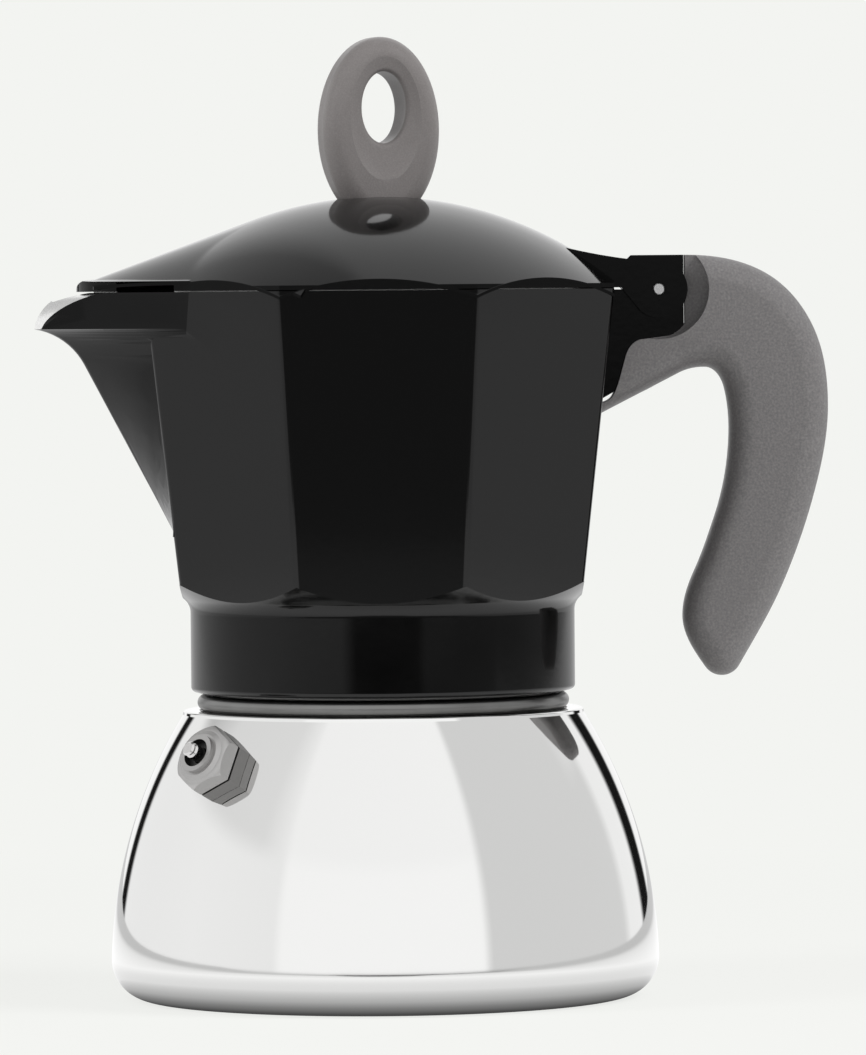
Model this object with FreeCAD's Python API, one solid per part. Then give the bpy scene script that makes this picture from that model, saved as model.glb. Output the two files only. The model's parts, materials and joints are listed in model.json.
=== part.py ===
import FreeCAD, Part
import math
import os
from FreeCAD import Vector, Placement, Rotation

# Stove-top moka pot: a round steel-clad boiler, a coffee funnel, an octagonal collecting jug with
# a spout and a handle, and a hinged lid with a ring knob.
# Millimetres. +Z is up, the spout points along -X and the handle along +X.
# The origin is the centre of the flat base.

# ---- boiler: a steel shell over an aluminium liner ----
base_r = 54.8               # widest radius, just above the base corner
base_corner_r = 8.0         # rounding between the base and the wall
belly_r = 51.3              # outer radius half way up
belly_z = 31.4
shoulder_r = 39.6           # outer radius at the top edge of the steel
shoulder_z = 57.8
shell_t = 0.8               # steel thickness
bond_gap = 0.05             # film between steel and aluminium
liner_t = 2.2               # aluminium wall thickness
neck_r = 34.0               # threaded neck, at the thread root
neck_wall = 3.4
neck_h = 12.3               # from the collar's top to the neck's rim
collar_lip = 0.6            # the collar's top stands out from the neck
collar_flare = 2.2          # and its foot from its top
collar_h = 2.9              # height of the bare collar above the steel
collar_bead = 0.3           # its bead stands out past its foot
collar_bead_rise = 0.9      # height of the bead's widest line above the steel
collar_tuck = 0.7           # groove between bead and steel
collar_tuck_h = 0.3
neck_lip = 0.5              # edge break on the neck's rim
neck_root = 2.2             # underside of the neck, below the shoulder
neck_lead = 1.2             # height of the slope inside, under the neck

# ---- coffee funnel ----
flange_w = 1.8              # width of the funnel's rim over the neck's bore
flange_t = 0.7
basket_play = 0.4           # radial play of the basket in the neck
basket_t = 0.8
basket_depth = 22.0
funnel_cone_h = 8.0
tube_r = 6.2
tube_t = 1.0
tube_joint_h = 2.4          # collar of the cone round the tube's end
tube_foot_gap = 6.0         # from the boiler floor to the tube's end
sieve_t = 0.8
sieve_ledge = 1.6           # step in the basket that carries the sieve
sieve_hole_r = 1.0
sieve_rings = 3

# ---- gasket and filter plate under the jug ----
seat_gap = 0.08             # between faces that only rest on each other
over = 1.0                  # cutters reach this far past what they cut
gasket_w = 6.4
gasket_t = 3.0
gasket_edge_r = 0.4
filter_lap = 3.7            # width of the filter's rim on the gasket
filter_t = 0.9
filter_dish = 0.8           # how far the perforated middle sits below the rim
filter_bend = 1.0           # width of the slope down to it
filter_play = 1.0           # the dish inside the gasket's bore
filter_hole_r = 1.0
filter_rings = 4

# ---- jug ----
skirt_t = 3.8               # round band that screws over the neck
skirt_lift = 0.8            # clear height over the boiler's collar
skirt_round = 1.0
thread_play = 0.6           # radial room for the thread between neck and skirt
recess_step = 0.4           # rise from the thread's room to the gasket's
jug_foot_step = 1.35        # the octagon's foot stands out from the band
jug_foot_rise = 2.2         # and starts this far above the gasket's seat
jug_h = 61.3                # from the octagon's foot to the rim
jug_flare = 6.75            # the half width across flats grows by this
jug_wall_t = 2.4
jug_edge_r = 2.0            # rounding of the eight upright edges
foot_slope = 0.9            # rise of the flare above the band, per unit of radius
foot_bend = 1.6             # length of the soft bend between band and flare
jug_floor_t = 5.0
jug_lap = 1.0               # overlap of cast forms that run into each other
column_foot_r = 9.0
column_top_r = 5.6
column_h = 44.0
column_bore_r = 3.8
column_mouth_r = 9.5        # funnel-shaped inlet under the column
column_port_r = 1.9          # outlets near the top, one each side
column_cap_t = 2.5
column_edge = 1.5
column_taper = 0.6
column_foot_bend = 3.0

# ---- spout ----
spout_root_rise = 12.4      # where the ridge leaves the jug wall, above the octagon's foot
spout_foot_half_w = 16.8    # half width of the vee at its root
spout_rim_half_w = 28.4     # half width where it meets the jug at the rim
spout_lean = 0.525          # forward lean of the straight ridge, per unit of height
spout_curl_drop = 14.4      # the ridge curls outwards above this, below the rim
spout_reach = 22.7          # tip, out from the jug's wall at the rim
spout_tip_drop = 7.2        # tip, down from the rim
spout_wall_t = 2.3
spout_nose_w = 1.3          # half width of the rounding along the ridge
spout_low_cut = 0.4         # the modelled ridge starts just above its root
spout_curl_steps = 10
spout_bury = 12.0           # depth of the spout's form inside the jug
lip_mid_run = 2.6           # the lip's rounded profile: its middle, in from the tip
lip_mid_drop = 2.34         # and below the rim
lip_run = 7.7               # its end at the rim, in from the tip
lip_foot_back = 0.8         # the lip runs back this much to each side, at the tip's height
lip_mid_back = 0.63         # at its middle
lip_end_back = 0.5          # and at the rim

# ---- hinge ----
hinge_out = 9.1             # pin, out from the jug's wall at the rim
hinge_drop = 0.2            # pin, down from the rim
pin_r = 1.15
pin_fit = 0.02              # pin in the jug's bracket, tight
pin_play = 0.07             # pin in the lid's ears, running
pin_chamfer = 0.2
pin_recess_r = 1.6
pin_recess = 0.5
bracket_w = 8.4             # thickness of the bracket, along Y
bracket_front = 6.5         # the hinge post's front face, from the pin
bracket_back = 5.0          # and its back face
bracket_rise = 6.8          # and its top
bracket_heel_drop = 11.2    # where the post's back face ends, below the pin
bracket_drop = 22.8         # lower end of the bracket on the jug's wall
bracket_root = 1.6          # depth of the bracket's foot in the wall
bracket_edge = 1.0          # corner cut at the post's top
bracket_heel = 3.0          # and at the tongue's back
ear_gap = 0.3               # between bracket and ear, each side
ear_w = 4.0
ear_r = 5.7

# ---- lid ----
lid_gap = 0.2               # between the rim and the lid
lid_t = 2.0
lid_side_h = 1.1            # height of the lid's side at its eight corners
dome_rise = 18.7            # crown above the rim
dome_r = 74.0
roof_front = 12.3           # front of the roof's ridge, in from the spout's tip
roof_front_rise = 2.66      # its height above the rim
roof_nose = 3.8             # length of the rounded nose in front of it
roof_eave_rise = 2.2        # the roof's side faces, above the rim
vent_rise = 2.05            # top of the steam slot, above the rim
vent_start = 17.1           # slot in the side of the roof, from the spout's tip
vent_len = 11.7
lid_lip_h = 1.8             # lip that drops into the jug
lid_lip_t = 1.2
lid_lip_play = 0.35
ear_start = 18.6            # where the ears leave the dome, from the pin
ear_dip_run = 10.4          # the low of their hollow top line, from the pin
ear_dip_rise = 1.0          # and above the ear's round end
ear_heel = 1.6              # the ears' undersides start this far out from the rim
lid_swing_gap = 0.3         # the lid's edge clears the post's corners by this

# ---- knob ----
knob_half_w = 12.1
knob_half_h = 18.6
knob_mid_rise = 13.3        # middle of the ring above the crown
knob_hole_half_w = 4.6
knob_hole_half_h = 7.1
knob_hole_rise = 4.5        # the eye sits above the middle
knob_t = 10.6
knob_edge_r = 3.9
knob_hole_edge_r = 1.2
knob_dish_half_w = 7.4      # hollow in each face, round the eye
knob_dish_half_h = 12.4
knob_dish_rise = 2.2
knob_dish_depth = 1.5
knob_dish_round = 4.0       # half depth of the oval body that shapes the hollow
knob_turn = 18.0            # degrees about the screw
knob_screw_r = 1.9
knob_screw_in = 7.0
knob_screw_head_r = 3.6
knob_screw_head_t = 2.2
washer_r = 6.0
washer_t = 0.8
screw_play = 0.15

# ---- handle ----
handle_w = 17.0
handle_edge_r = 5.0
handle_slot_gap = 0.15      # handle over the bracket's tongue
handle_swing_r = 10.0       # hollow around the hinge for the lid's ears
screw_edge = 0.6            # edge break on the screws' heads
screw_slot_w = 0.9
screw_slot_d = 0.8
handle_screw_r = 1.5
handle_screw_head_r = 2.9
handle_screw_head_t = 2.0
handle_screw_len = 12.0
handle_screw_at = 0.63       # its place along the grip's underside, from the jug
grip_tip_r = 4.0            # rounding of the grip's lower end

# ---- safety valve ----
valve_turn = 225.5          # around the boiler, from +X
valve_z = 47.8
valve_hex_af = 12.0         # across flats
boss_flange_t = 2.6
boss_sleeve_r = 5.4
valve_washer_t = 0.5
valve_shank_r = 4.3
valve_hex_t = 3.3
valve_step_r = 5.3
valve_step_t = 0.5
valve_collar_r = 3.9
valve_collar_t = 1.0
valve_mouth_r = 2.9
valve_inner_len = 6.0       # shank inside the boiler wall
valve_chamber_r = 3.1
valve_chamber_wall = 1.6
stem_r = 1.5
stem_play = 0.2
stem_out = 2.4              # stem past the collar
stem_head_r = 2.7
stem_head_t = 1.6
stem_groove = 0.35
valve_seat_t = 1.2
valve_seat_hole_r = 1.6
spring_wire_r = 0.35
spring_turns = 5
spring_end_gap = 0.1

# ---- heights and radii that follow ----
OCT = math.pi / 8.0
collar_top_r = neck_r + collar_lip
collar_tuck_z = shoulder_z - collar_tuck_h
shell_lip_r = collar_top_r + collar_flare        # inner edge of the steel, rolled in over the liner
collar_top_z = shoulder_z + collar_h
neck_top_z = collar_top_z + neck_h
neck_bore_r = neck_r - neck_wall
neck_floor_z = shoulder_z - neck_root
basket_r = neck_bore_r - basket_play
flange_r = neck_bore_r + flange_w
flange_z = neck_top_z + seat_gap
basket_floor_z = flange_z + flange_t - basket_depth
tube_top_z = basket_floor_z - funnel_cone_h
gasket_r = flange_r
gasket_bore_r = gasket_r - gasket_w
gasket_z = flange_z + flange_t + seat_gap
filter_dish_r = gasket_bore_r - filter_play
filter_r = gasket_bore_r + filter_lap
filter_z = gasket_z + gasket_t + seat_gap
jug_under_z = filter_z + filter_t + seat_gap
jug_floor_z = jug_under_z + jug_floor_t
column_top_z = jug_floor_z + column_h
skirt_r = neck_r + thread_play + skirt_t
skirt_bottom_z = collar_top_z + skirt_lift
jug_foot_z = jug_under_z + jug_foot_rise
jug_foot_apothem = skirt_r + jug_foot_step
jug_rim_z = jug_foot_z + jug_h
jug_rim_apothem = jug_foot_apothem + jug_flare
spout_root_z = jug_foot_z + spout_root_rise
spout_curl_z = jug_rim_z - spout_curl_drop
spout_tip_x = jug_rim_apothem + spout_reach
spout_tip_z = jug_rim_z - spout_tip_drop
hinge_x = jug_rim_apothem + hinge_out
hinge_z = jug_rim_z - hinge_drop
ear_in_y = bracket_w / 2 + ear_gap
ear_out_y = ear_in_y + ear_w
roof_front_x = spout_tip_x - roof_front
roof_front_z = jug_rim_z + roof_front_rise
lid_low_z = jug_rim_z + lid_gap
lid_crown_z = jug_rim_z + dome_rise
dome_mid_z = lid_crown_z - dome_r
knob_seat_z = lid_crown_z + bond_gap
knob_mid_z = lid_crown_z + knob_mid_rise
knob_hole_z = knob_mid_z + knob_hole_rise


def vec(x, y, z):
    return Vector(float(x), float(y), float(z))


def line(a, b):
    return Part.LineSegment(a, b).toShape()


def chain(points):
    return [line(a, b) for a, b in zip(points, points[1:])]


def solid_of(shape):
    """One clean solid with its seams merged."""
    merged = shape.removeSplitter()
    return merged.Solids[0] if len(merged.Solids) == 1 else merged


def revolve(points):
    """Full turn about Z of a closed outline given as (radius, z) corners."""
    corners = [vec(r, 0, z) for r, z in points]
    return revolve_edges(chain(corners + corners[:1]))


def revolve_edges(edges):
    wire = Part.Wire(Part.__sortEdges__(edges))
    return Part.Face(wire).revolve(vec(0, 0, 0), vec(0, 0, 1), 360)


def prism_y(points, half_w, centre_y=0.0):
    """Closed outline of (x, z) corners, extruded along Y to both sides of centre_y."""
    corners = [vec(x, centre_y - half_w, z) for x, z in points]
    wire = Part.makePolygon(corners + corners[:1])
    return Part.Face(wire).extrude(vec(0, 2 * half_w, 0))


def plate_y(edges, y0, y1):
    """Closed edges in side view, made a plate between two places along Y."""
    face = Part.Face(Part.Wire(Part.__sortEdges__(edges)))
    plate = face.extrude(vec(0, y1 - y0, 0))
    plate.translate(vec(0, y0, 0))
    return plate


def bend(start, corner, end):
    """Curve from start to end that leaves and arrives along the two sides of a corner."""
    curve = Part.BezierCurve()
    curve.setPoles([start, corner, end])
    return curve.toShape()


def tube(r_out, r_in, z0, z1):
    outer = Part.makeCylinder(r_out, z1 - z0, vec(0, 0, z0))
    return outer.cut(Part.makeCylinder(r_in, z1 - z0, vec(0, 0, z0)))


def cylinder_y(radius, half_len, x, z):
    return Part.makeCylinder(radius, 2 * half_len, vec(x, -half_len, z), vec(0, 1, 0))


def circle_through(a, b, c):
    """Centre and radius of the circle through three (r, z) points."""
    (ax, ay), (bx, by), (cx, cy) = a, b, c
    d = 2 * (ax * (by - cy) + bx * (cy - ay) + cx * (ay - by))
    sa, sb, sc = ax * ax + ay * ay, bx * bx + by * by, cx * cx + cy * cy
    ux = (sa * (by - cy) + sb * (cy - ay) + sc * (ay - by)) / d
    uy = (sa * (cx - bx) + sb * (ax - cx) + sc * (bx - ax)) / d
    return ux, uy, math.hypot(ax - ux, ay - uy)


def octagon(apothem, z):
    """Octagon with flats facing X and Y."""
    radius = apothem / math.cos(OCT)
    corners = [vec(radius * math.cos(OCT + k * 2 * OCT), radius * math.sin(OCT + k * 2 * OCT), z)
               for k in range(8)]
    return Part.makePolygon(corners + corners[:1])


def jug_apothem(z):
    """Half width across flats of the jug's outside at a height."""
    share = (z - jug_foot_z) / (jug_rim_z - jug_foot_z)
    return jug_foot_apothem + share * (jug_rim_apothem - jug_foot_apothem)


# ---------------------------------------------------------------- boiler

wall_cx, wall_cz, wall_r = circle_through((base_r, base_corner_r), (belly_r, belly_z),
                                          (shoulder_r, shoulder_z))


def wall_at(z, inset=0.0):
    """Radius of the boiler wall at a height, moved inwards by inset."""
    return wall_cx + math.sqrt((wall_r - inset) ** 2 - (z - wall_cz) ** 2)


def corner_centre():
    """Centre of the base corner, whose arc runs smoothly into the wall's."""
    reach = wall_r - base_corner_r
    return wall_cx + math.sqrt(reach ** 2 - (base_corner_r - wall_cz) ** 2)


def barrel_edges(inset, top_z):
    """Base, corner and wall of the boiler, from the axis up to top_z, moved inwards by inset."""
    ccx = corner_centre()
    cr = base_corner_r - inset
    toward = math.atan2(base_corner_r - wall_cz, ccx - wall_cx)
    join = vec(ccx + cr * math.cos(toward), 0, base_corner_r + cr * math.sin(toward))
    half = (toward - math.pi / 2) / 2
    middle = vec(ccx + cr * math.cos(half), 0, base_corner_r + cr * math.sin(half))
    start = vec(0, 0, inset)
    foot = vec(ccx, 0, inset)
    end = vec(wall_at(top_z, inset), 0, top_z)
    mid_z = (join.z + top_z) / 2
    return [line(start, foot), Part.Arc(foot, middle, join).toShape(),
            Part.Arc(join, vec(wall_at(mid_z, inset), 0, mid_z), end).toShape()]


def boiler_block(inset, top_z):
    """Solid body of the boiler, moved inwards by inset."""
    edges = barrel_edges(inset, top_z)
    end = edges[-1].Vertexes[-1].Point
    return revolve_edges(edges + chain([end, vec(0, 0, top_z), vec(0, 0, inset)]))


def valve_frame():
    """Placement whose +Z is the valve's axis, leaving the shell at its outer face."""
    r = wall_at(valve_z)
    tilt = math.degrees(math.atan2(valve_z - wall_cz, r - wall_cx))
    spin = Rotation(vec(0, 0, 1), valve_turn)
    lean = Rotation(vec(0, 1, 0), 90 - tilt)
    return Placement(spin.multVec(vec(r, 0, valve_z)), spin.multiply(lean))


def along_valve(shape):
    shape.Placement = valve_frame().multiply(shape.Placement)
    return shape


def valve_hole(radius):
    depth = 4 * valve_inner_len
    return along_valve(Part.makeCylinder(radius, depth, vec(0, 0, -depth / 2)))


def boiler_shell():
    outer = boiler_block(0.0, shoulder_z)
    inner = boiler_block(shell_t, shoulder_z - shell_t)
    mouth = Part.makeCylinder(shell_lip_r, 2 * shell_t, vec(0, 0, shoulder_z - 2 * shell_t))
    shell = outer.cut(inner).cut(mouth)
    return solid_of(shell.cut(valve_hole(boss_sleeve_r + bond_gap)))


def liner_neck():
    """Collar with a rolled bead, and the threaded neck, standing on the liner's shoulder."""
    foot_r = shell_lip_r - bond_gap
    low_z = shoulder_z - 3 * shell_t
    groove = vec(foot_r - collar_tuck, 0, shoulder_z)
    bead = vec(foot_r + collar_bead, 0, shoulder_z + collar_bead_rise)
    crest = vec(collar_top_r, 0, collar_top_z)
    top = [vec(neck_r, 0, collar_top_z), vec(neck_r, 0, neck_top_z - neck_lip),
           vec(neck_r - neck_lip, 0, neck_top_z), vec(neck_bore_r + neck_lip, 0, neck_top_z),
           vec(neck_bore_r, 0, neck_top_z - neck_lip)]
    foot = [vec(neck_bore_r, 0, neck_floor_z), vec(foot_r, 0, neck_floor_z), vec(foot_r, 0, low_z),
            vec(foot_r, 0, collar_tuck_z), groove]
    return revolve_edges([Part.Arc(groove, bead, crest).toShape()]
                         + chain([crest] + top + foot))


def boiler_liner():
    skin = shell_t + bond_gap
    body = boiler_block(skin, shoulder_z - skin)
    water_top_z = neck_floor_z - neck_lead
    water = boiler_block(skin + liner_t, water_top_z)
    roof_r = wall_at(water_top_z, skin + liner_t)
    roof = revolve([(0, water_top_z), (roof_r, water_top_z), (neck_bore_r, neck_floor_z),
                    (0, neck_floor_z)])
    bore = Part.makeCylinder(neck_bore_r, neck_top_z, vec(0, 0, water_top_z))
    body = body.fuse(liner_neck()).cut(bore).cut(water).cut(roof)
    return solid_of(body.cut(valve_hole(boss_sleeve_r + bond_gap)))


# ---------------------------------------------------------------- safety valve

boss_in = shell_t + bond_gap + liner_t           # depth of the wall at the valve
washer_z = boss_flange_t
hex_z = washer_z + valve_washer_t
step_z = hex_z + valve_hex_t
collar_z = step_z + valve_step_t
valve_end_z = collar_z + valve_collar_t
shank_end_z = -valve_inner_len
chamber_top_z = step_z - valve_chamber_wall
seat_top_z = shank_end_z + valve_seat_t


def hexagon(af, z0, z1):
    radius = af / 2 / math.cos(math.pi / 6)
    corners = [vec(radius * math.cos(k * math.pi / 3), radius * math.sin(k * math.pi / 3), z0)
               for k in range(7)]
    return Part.Face(Part.makePolygon(corners)).extrude(vec(0, 0, z1 - z0))


def crowned_hexagon(af, z0, z1):
    """Hexagon whose outer corners are turned off in a full round."""
    radius = af / 2 / math.cos(math.pi / 6)
    drop = (radius - af / 2) * 1.4
    flat_r = af / 2 - drop / 2
    edges = [Part.Arc(vec(radius, 0, z1 - drop), vec(af / 2 + drop / 8, 0, z1 - drop / 4),
                      vec(flat_r, 0, z1)).toShape()]
    edges += chain([vec(flat_r, 0, z1), vec(0, 0, z1), vec(0, 0, z0), vec(radius, 0, z0),
                    vec(radius, 0, z1 - drop)])
    return hexagon(af, z0, z1).common(revolve_edges(edges))


def valve_boss():
    """Hexagonal boss seated on the curved shell, with a sleeve through the wall."""
    flange = along_valve(hexagon(valve_hex_af, -boss_in, boss_flange_t))
    flange = flange.cut(boiler_block(-bond_gap, shoulder_z))
    sleeve = along_valve(Part.makeCylinder(boss_sleeve_r, boss_in + boss_flange_t / 2, vec(0, 0, -boss_in)))
    bore = valve_hole(valve_shank_r + bond_gap)
    return solid_of(flange.fuse(sleeve).cut(bore))


def valve_washer():
    ring = tube(boss_sleeve_r, valve_shank_r + bond_gap, washer_z, hex_z)
    return along_valve(ring)


def valve_body():
    """Crowned hexagon with a stepped collar and a deep mouth, and a hollow shank behind it."""
    body = crowned_hexagon(valve_hex_af, hex_z, step_z)
    body = body.fuse(Part.makeCone(valve_step_r, valve_collar_r + valve_step_t, valve_step_t,
                                   vec(0, 0, step_z)))
    body = body.fuse(Part.makeCylinder(valve_collar_r, valve_collar_t, vec(0, 0, collar_z)))
    shank = Part.makeCylinder(valve_shank_r, hex_z - shank_end_z, vec(0, 0, shank_end_z))
    chamber = Part.makeCylinder(valve_chamber_r, chamber_top_z - shank_end_z, vec(0, 0, shank_end_z))
    passage = Part.makeCylinder(stem_r + stem_play, valve_end_z)
    mouth_d = valve_collar_t + valve_step_t
    mouth = Part.makeCylinder(valve_mouth_r, mouth_d, vec(0, 0, valve_end_z - mouth_d))
    body = body.fuse(shank).cut(chamber).cut(passage).cut(mouth)
    return along_valve(solid_of(body))


def valve_seat():
    """Ring pressed into the inner end of the valve; the piston closes its hole."""
    ring = tube(valve_chamber_r - bond_gap, valve_seat_hole_r, shank_end_z, seat_top_z)
    return along_valve(ring)


def valve_stem():
    """Piston and stem in one piece; the stem's grooved end shows outside the valve."""
    z0 = seat_top_z + seat_gap
    z1 = z0 + stem_head_t
    end_z = valve_end_z + stem_out
    waist_r = stem_r - stem_groove
    rod = revolve([(0, z0), (stem_head_r, z0), (stem_head_r, z1), (stem_r, z1),
                   (stem_r, end_z - 4 * stem_groove), (waist_r, end_z - 3 * stem_groove),
                   (waist_r, end_z - 2 * stem_groove), (stem_r, end_z - stem_groove),
                   (waist_r, end_z), (0, end_z)])
    return along_valve(rod)


def valve_spring():
    z0 = seat_top_z + seat_gap + stem_head_t + spring_wire_r + spring_end_gap
    z1 = chamber_top_z - spring_wire_r - spring_end_gap
    coil_r = (stem_r + valve_chamber_r) / 2
    helix = Part.makeHelix((z1 - z0) / spring_turns, z1 - z0, coil_r)
    helix.translate(vec(0, 0, z0))
    wire = Part.Wire([Part.makeCircle(spring_wire_r, vec(coil_r, 0, z0), vec(0, 1, 0))])
    coil = Part.Wire(helix.Edges).makePipeShell([wire], True, True)
    return along_valve(coil)


# ---------------------------------------------------------------- funnel, gasket, filter

def ring_holes(radius, rings, pitch, z0, z1):
    """Round holes on rings of six, twelve, eighteen and so on about a middle one."""
    places = [(0.0, 0.0)]
    for ring in range(1, rings + 1):
        for k in range(6 * ring):
            turn = 2 * math.pi * k / (6 * ring)
            places.append((ring * pitch * math.cos(turn), ring * pitch * math.sin(turn)))
    return [Part.makeCylinder(radius, z1 - z0, vec(x, y, z0)) for x, y in places]


def funnel_basket():
    """Cup with a flange, a ledge for the sieve, and a cone that narrows to the tube's collar."""
    rim_z = flange_z + flange_t
    in_r = basket_r - basket_t
    ledge_r = in_r - sieve_ledge
    ledge_z = basket_floor_z + basket_t
    joint_r = tube_r + bond_gap
    return revolve([(in_r, rim_z), (flange_r, rim_z), (flange_r, flange_z), (basket_r, flange_z),
                    (basket_r, basket_floor_z), (joint_r + basket_t, tube_top_z),
                    (joint_r + basket_t, tube_top_z - tube_joint_h), (joint_r, tube_top_z - tube_joint_h),
                    (joint_r, tube_top_z), (ledge_r, ledge_z - basket_t / 2), (ledge_r, ledge_z),
                    (in_r, ledge_z)])


def funnel_tube():
    """Rising tube, pressed up into the cone's collar."""
    foot_z = shell_t + bond_gap + liner_t + tube_foot_gap
    return tube(tube_r, tube_r - tube_t, foot_z, tube_top_z)


def funnel_sieve():
    z0 = basket_floor_z + basket_t + bond_gap
    disc_r = basket_r - basket_t - bond_gap
    disc = Part.makeCylinder(disc_r, sieve_t, vec(0, 0, z0))
    free_r = disc_r - sieve_ledge - 2 * sieve_hole_r
    holes = ring_holes(sieve_hole_r, sieve_rings, free_r / sieve_rings, z0 - over, z0 + sieve_t + over)
    return disc.cut(Part.makeCompound(holes))


def gasket():
    ring = tube(gasket_r, gasket_bore_r, gasket_z, gasket_z + gasket_t)
    edges = [e for e in ring.Edges if e.Curve.TypeId == "Part::GeomCircle"]
    return ring.makeFillet(gasket_edge_r, edges)


def filter_plate():
    """Perforated disc: a flat rim on the gasket and a shallow dish below it."""
    low_z = filter_z - filter_dish
    top_z = filter_z + filter_t
    in_r = filter_dish_r - filter_t / 2
    plate = revolve([(0, low_z), (filter_dish_r - filter_bend, low_z), (filter_dish_r, filter_z),
                     (filter_r, filter_z), (filter_r, top_z), (in_r, top_z),
                     (in_r - filter_bend, top_z - filter_dish), (0, top_z - filter_dish)])
    pitch = (in_r - filter_bend - 2 * filter_hole_r) / filter_rings
    holes = ring_holes(filter_hole_r, filter_rings, pitch, low_z - over, top_z + over)
    return solid_of(plate.cut(Part.makeCompound(holes)))


# ---------------------------------------------------------------- jug

def jug_shape(inset, z0, z1):
    """Tapered octagon between two heights, moved inwards by inset."""
    wires = [octagon(jug_apothem(z) - inset, z) for z in (z0, z1)]
    return Part.makeLoft(wires, True, True)


def round_uprights(shape, radius):
    """Round the slanting upright edges of an octagonal body."""
    box = shape.BoundBox
    tall = [e for e in shape.Edges if e.BoundBox.ZLength > box.ZLength / 2]
    return shape.makeFillet(radius, tall)


def jug_block(inset, z0, z1):
    return round_uprights(jug_shape(inset, z0, z1), jug_edge_r)


def spout_half_w(z):
    """Half width of the vee where it leaves the jug, at a height."""
    share = (z - spout_root_z) / (jug_rim_z - spout_root_z)
    return spout_foot_half_w + share * (spout_rim_half_w - spout_foot_half_w)


def spout_ridge_x(z):
    """How far forward the straight ridge lies at a height."""
    return jug_apothem(spout_root_z) + spout_lean * (z - spout_root_z)


def spout_root_x(z):
    """Where the vee's sides meet the octagon's slanting faces, at a height."""
    return math.sqrt(2) * jug_apothem(z) - spout_half_w(z)


def spout_corner_x(z, ridge_x):
    """Corner in which the vee's sides would meet at a height, in front of the rounded ridge."""
    return ridge_x + spout_nose_w * (ridge_x - spout_root_x(z)) / spout_half_w(z) / 2


def vee(z, corner_x, nose_w, inset, back_x):
    """Vee in plan at one height, moved inwards by inset: rounded in front, square at the back."""
    half_w = spout_half_w(z)
    root_x = spout_root_x(z)
    run = corner_x - root_x
    slant = math.hypot(run, half_w)
    front = corner_x - inset * slant / half_w
    side = half_w - inset
    shoulder = root_x - inset * (slant - run) / half_w
    ends = [vec(-front + nose_w * run / half_w, y, z) for y in (nose_w, -nose_w)]
    edges = chain([ends[0], vec(-shoulder, side, z), vec(-back_x, side, z), vec(-back_x, -side, z),
                   vec(-shoulder, -side, z), ends[1]])
    return Part.Wire(edges + [bend(ends[1], vec(-front, 0, z), ends[0])])


def spout_section(z, ridge_x, inset, back_x):
    return vee(z, spout_corner_x(z, ridge_x), spout_nose_w, inset, back_x)


def spout_shape(inset, back_x):
    """Beak: a straight ridge rising from the wall, curling out in an arc to the tip, then upright."""
    low_z = spout_root_z + spout_low_cut
    curl_x = spout_ridge_x(spout_curl_z)
    start = math.atan(spout_lean)
    reach = spout_tip_x - curl_x
    rise = spout_tip_z - spout_curl_z
    sweep = 2 * (math.atan2(reach, rise) - start)
    curl_r = math.hypot(reach, rise) / (2 * math.sin(sweep / 2))
    levels = [(low_z, spout_ridge_x(low_z)), (spout_curl_z, curl_x)]
    for step in range(1, spout_curl_steps + 1):
        turn = start + sweep * step / spout_curl_steps
        levels.append((spout_curl_z + curl_r * (math.sin(turn) - math.sin(start)),
                       curl_x + curl_r * (math.cos(start) - math.cos(turn))))
    levels.append((jug_rim_z, spout_tip_x))
    return Part.makeLoft([spout_section(z, x, inset, back_x) for z, x in levels], True, True)


def lip_profile(y):
    """Section at y of the space that the ground lip clears: outside an arc from tip to rim."""
    out = abs(y)
    foot = vec(-spout_tip_x + lip_foot_back * out, y, spout_tip_z)
    middle = vec(-spout_tip_x + lip_mid_run + lip_mid_back * out, y, jug_rim_z - lip_mid_drop)
    end = vec(-spout_tip_x + lip_run + lip_end_back * out, y, jug_rim_z)
    far_x = -2 * spout_tip_x
    top_z = jug_rim_z + lid_gap / 2
    above = vec(end.x, y, top_z)
    edges = [Part.Arc(foot, middle, end).toShape()]
    return Part.Wire(edges + chain([end, above, vec(far_x, y, top_z), vec(far_x, y, foot.z), foot]))


def lip_tools():
    """What the ground lip takes away on each side of the ridge."""
    return [Part.makeLoft([lip_profile(0.0), lip_profile(side * spout_rim_half_w)], True, True)
            for side in (1, -1)]


def jug_column():
    """Hollow riser in the middle of the jug, closed at its top, with a port each side."""
    low_z = jug_under_z + bond_gap
    spread_r = column_foot_r + column_foot_bend
    return revolve([(0, low_z), (spread_r, low_z), (spread_r, jug_floor_z),
                    (column_foot_r, jug_floor_z + column_foot_bend),
                    (column_top_r + column_taper, column_top_z - column_cap_t - 3 * column_port_r),
                    (column_top_r, column_top_z - column_edge),
                    (column_top_r - column_edge, column_top_z), (0, column_top_z)])


def jug_column_bore():
    end_z = column_top_z - column_cap_t
    bore = revolve([(0, jug_under_z - over), (column_mouth_r, jug_under_z - over),
                    (column_mouth_r, jug_under_z), (column_bore_r, jug_under_z + column_mouth_r),
                    (column_bore_r - column_taper, end_z), (0, end_z)])
    ports = cylinder_y(column_port_r, 2 * column_top_r, 0, end_z - column_port_r - bond_gap)
    return bore.fuse(ports)


def bracket_profile():
    """Outline of the bracket in side view: hinge post above, tongue for the handle below."""
    low_z = hinge_z - bracket_drop
    front = hinge_x - bracket_front
    back = hinge_x + bracket_back
    top_z = hinge_z + bracket_rise
    heel_z = hinge_z - bracket_heel_drop
    return [(jug_rim_apothem - bracket_root, hinge_z), (front, hinge_z),
            (front, top_z - bracket_edge), (front + bracket_edge, top_z), (back, top_z),
            (back, heel_z), (back - bracket_heel, heel_z - bracket_heel),
            (jug_apothem(low_z) - bracket_root, low_z)]


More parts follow.
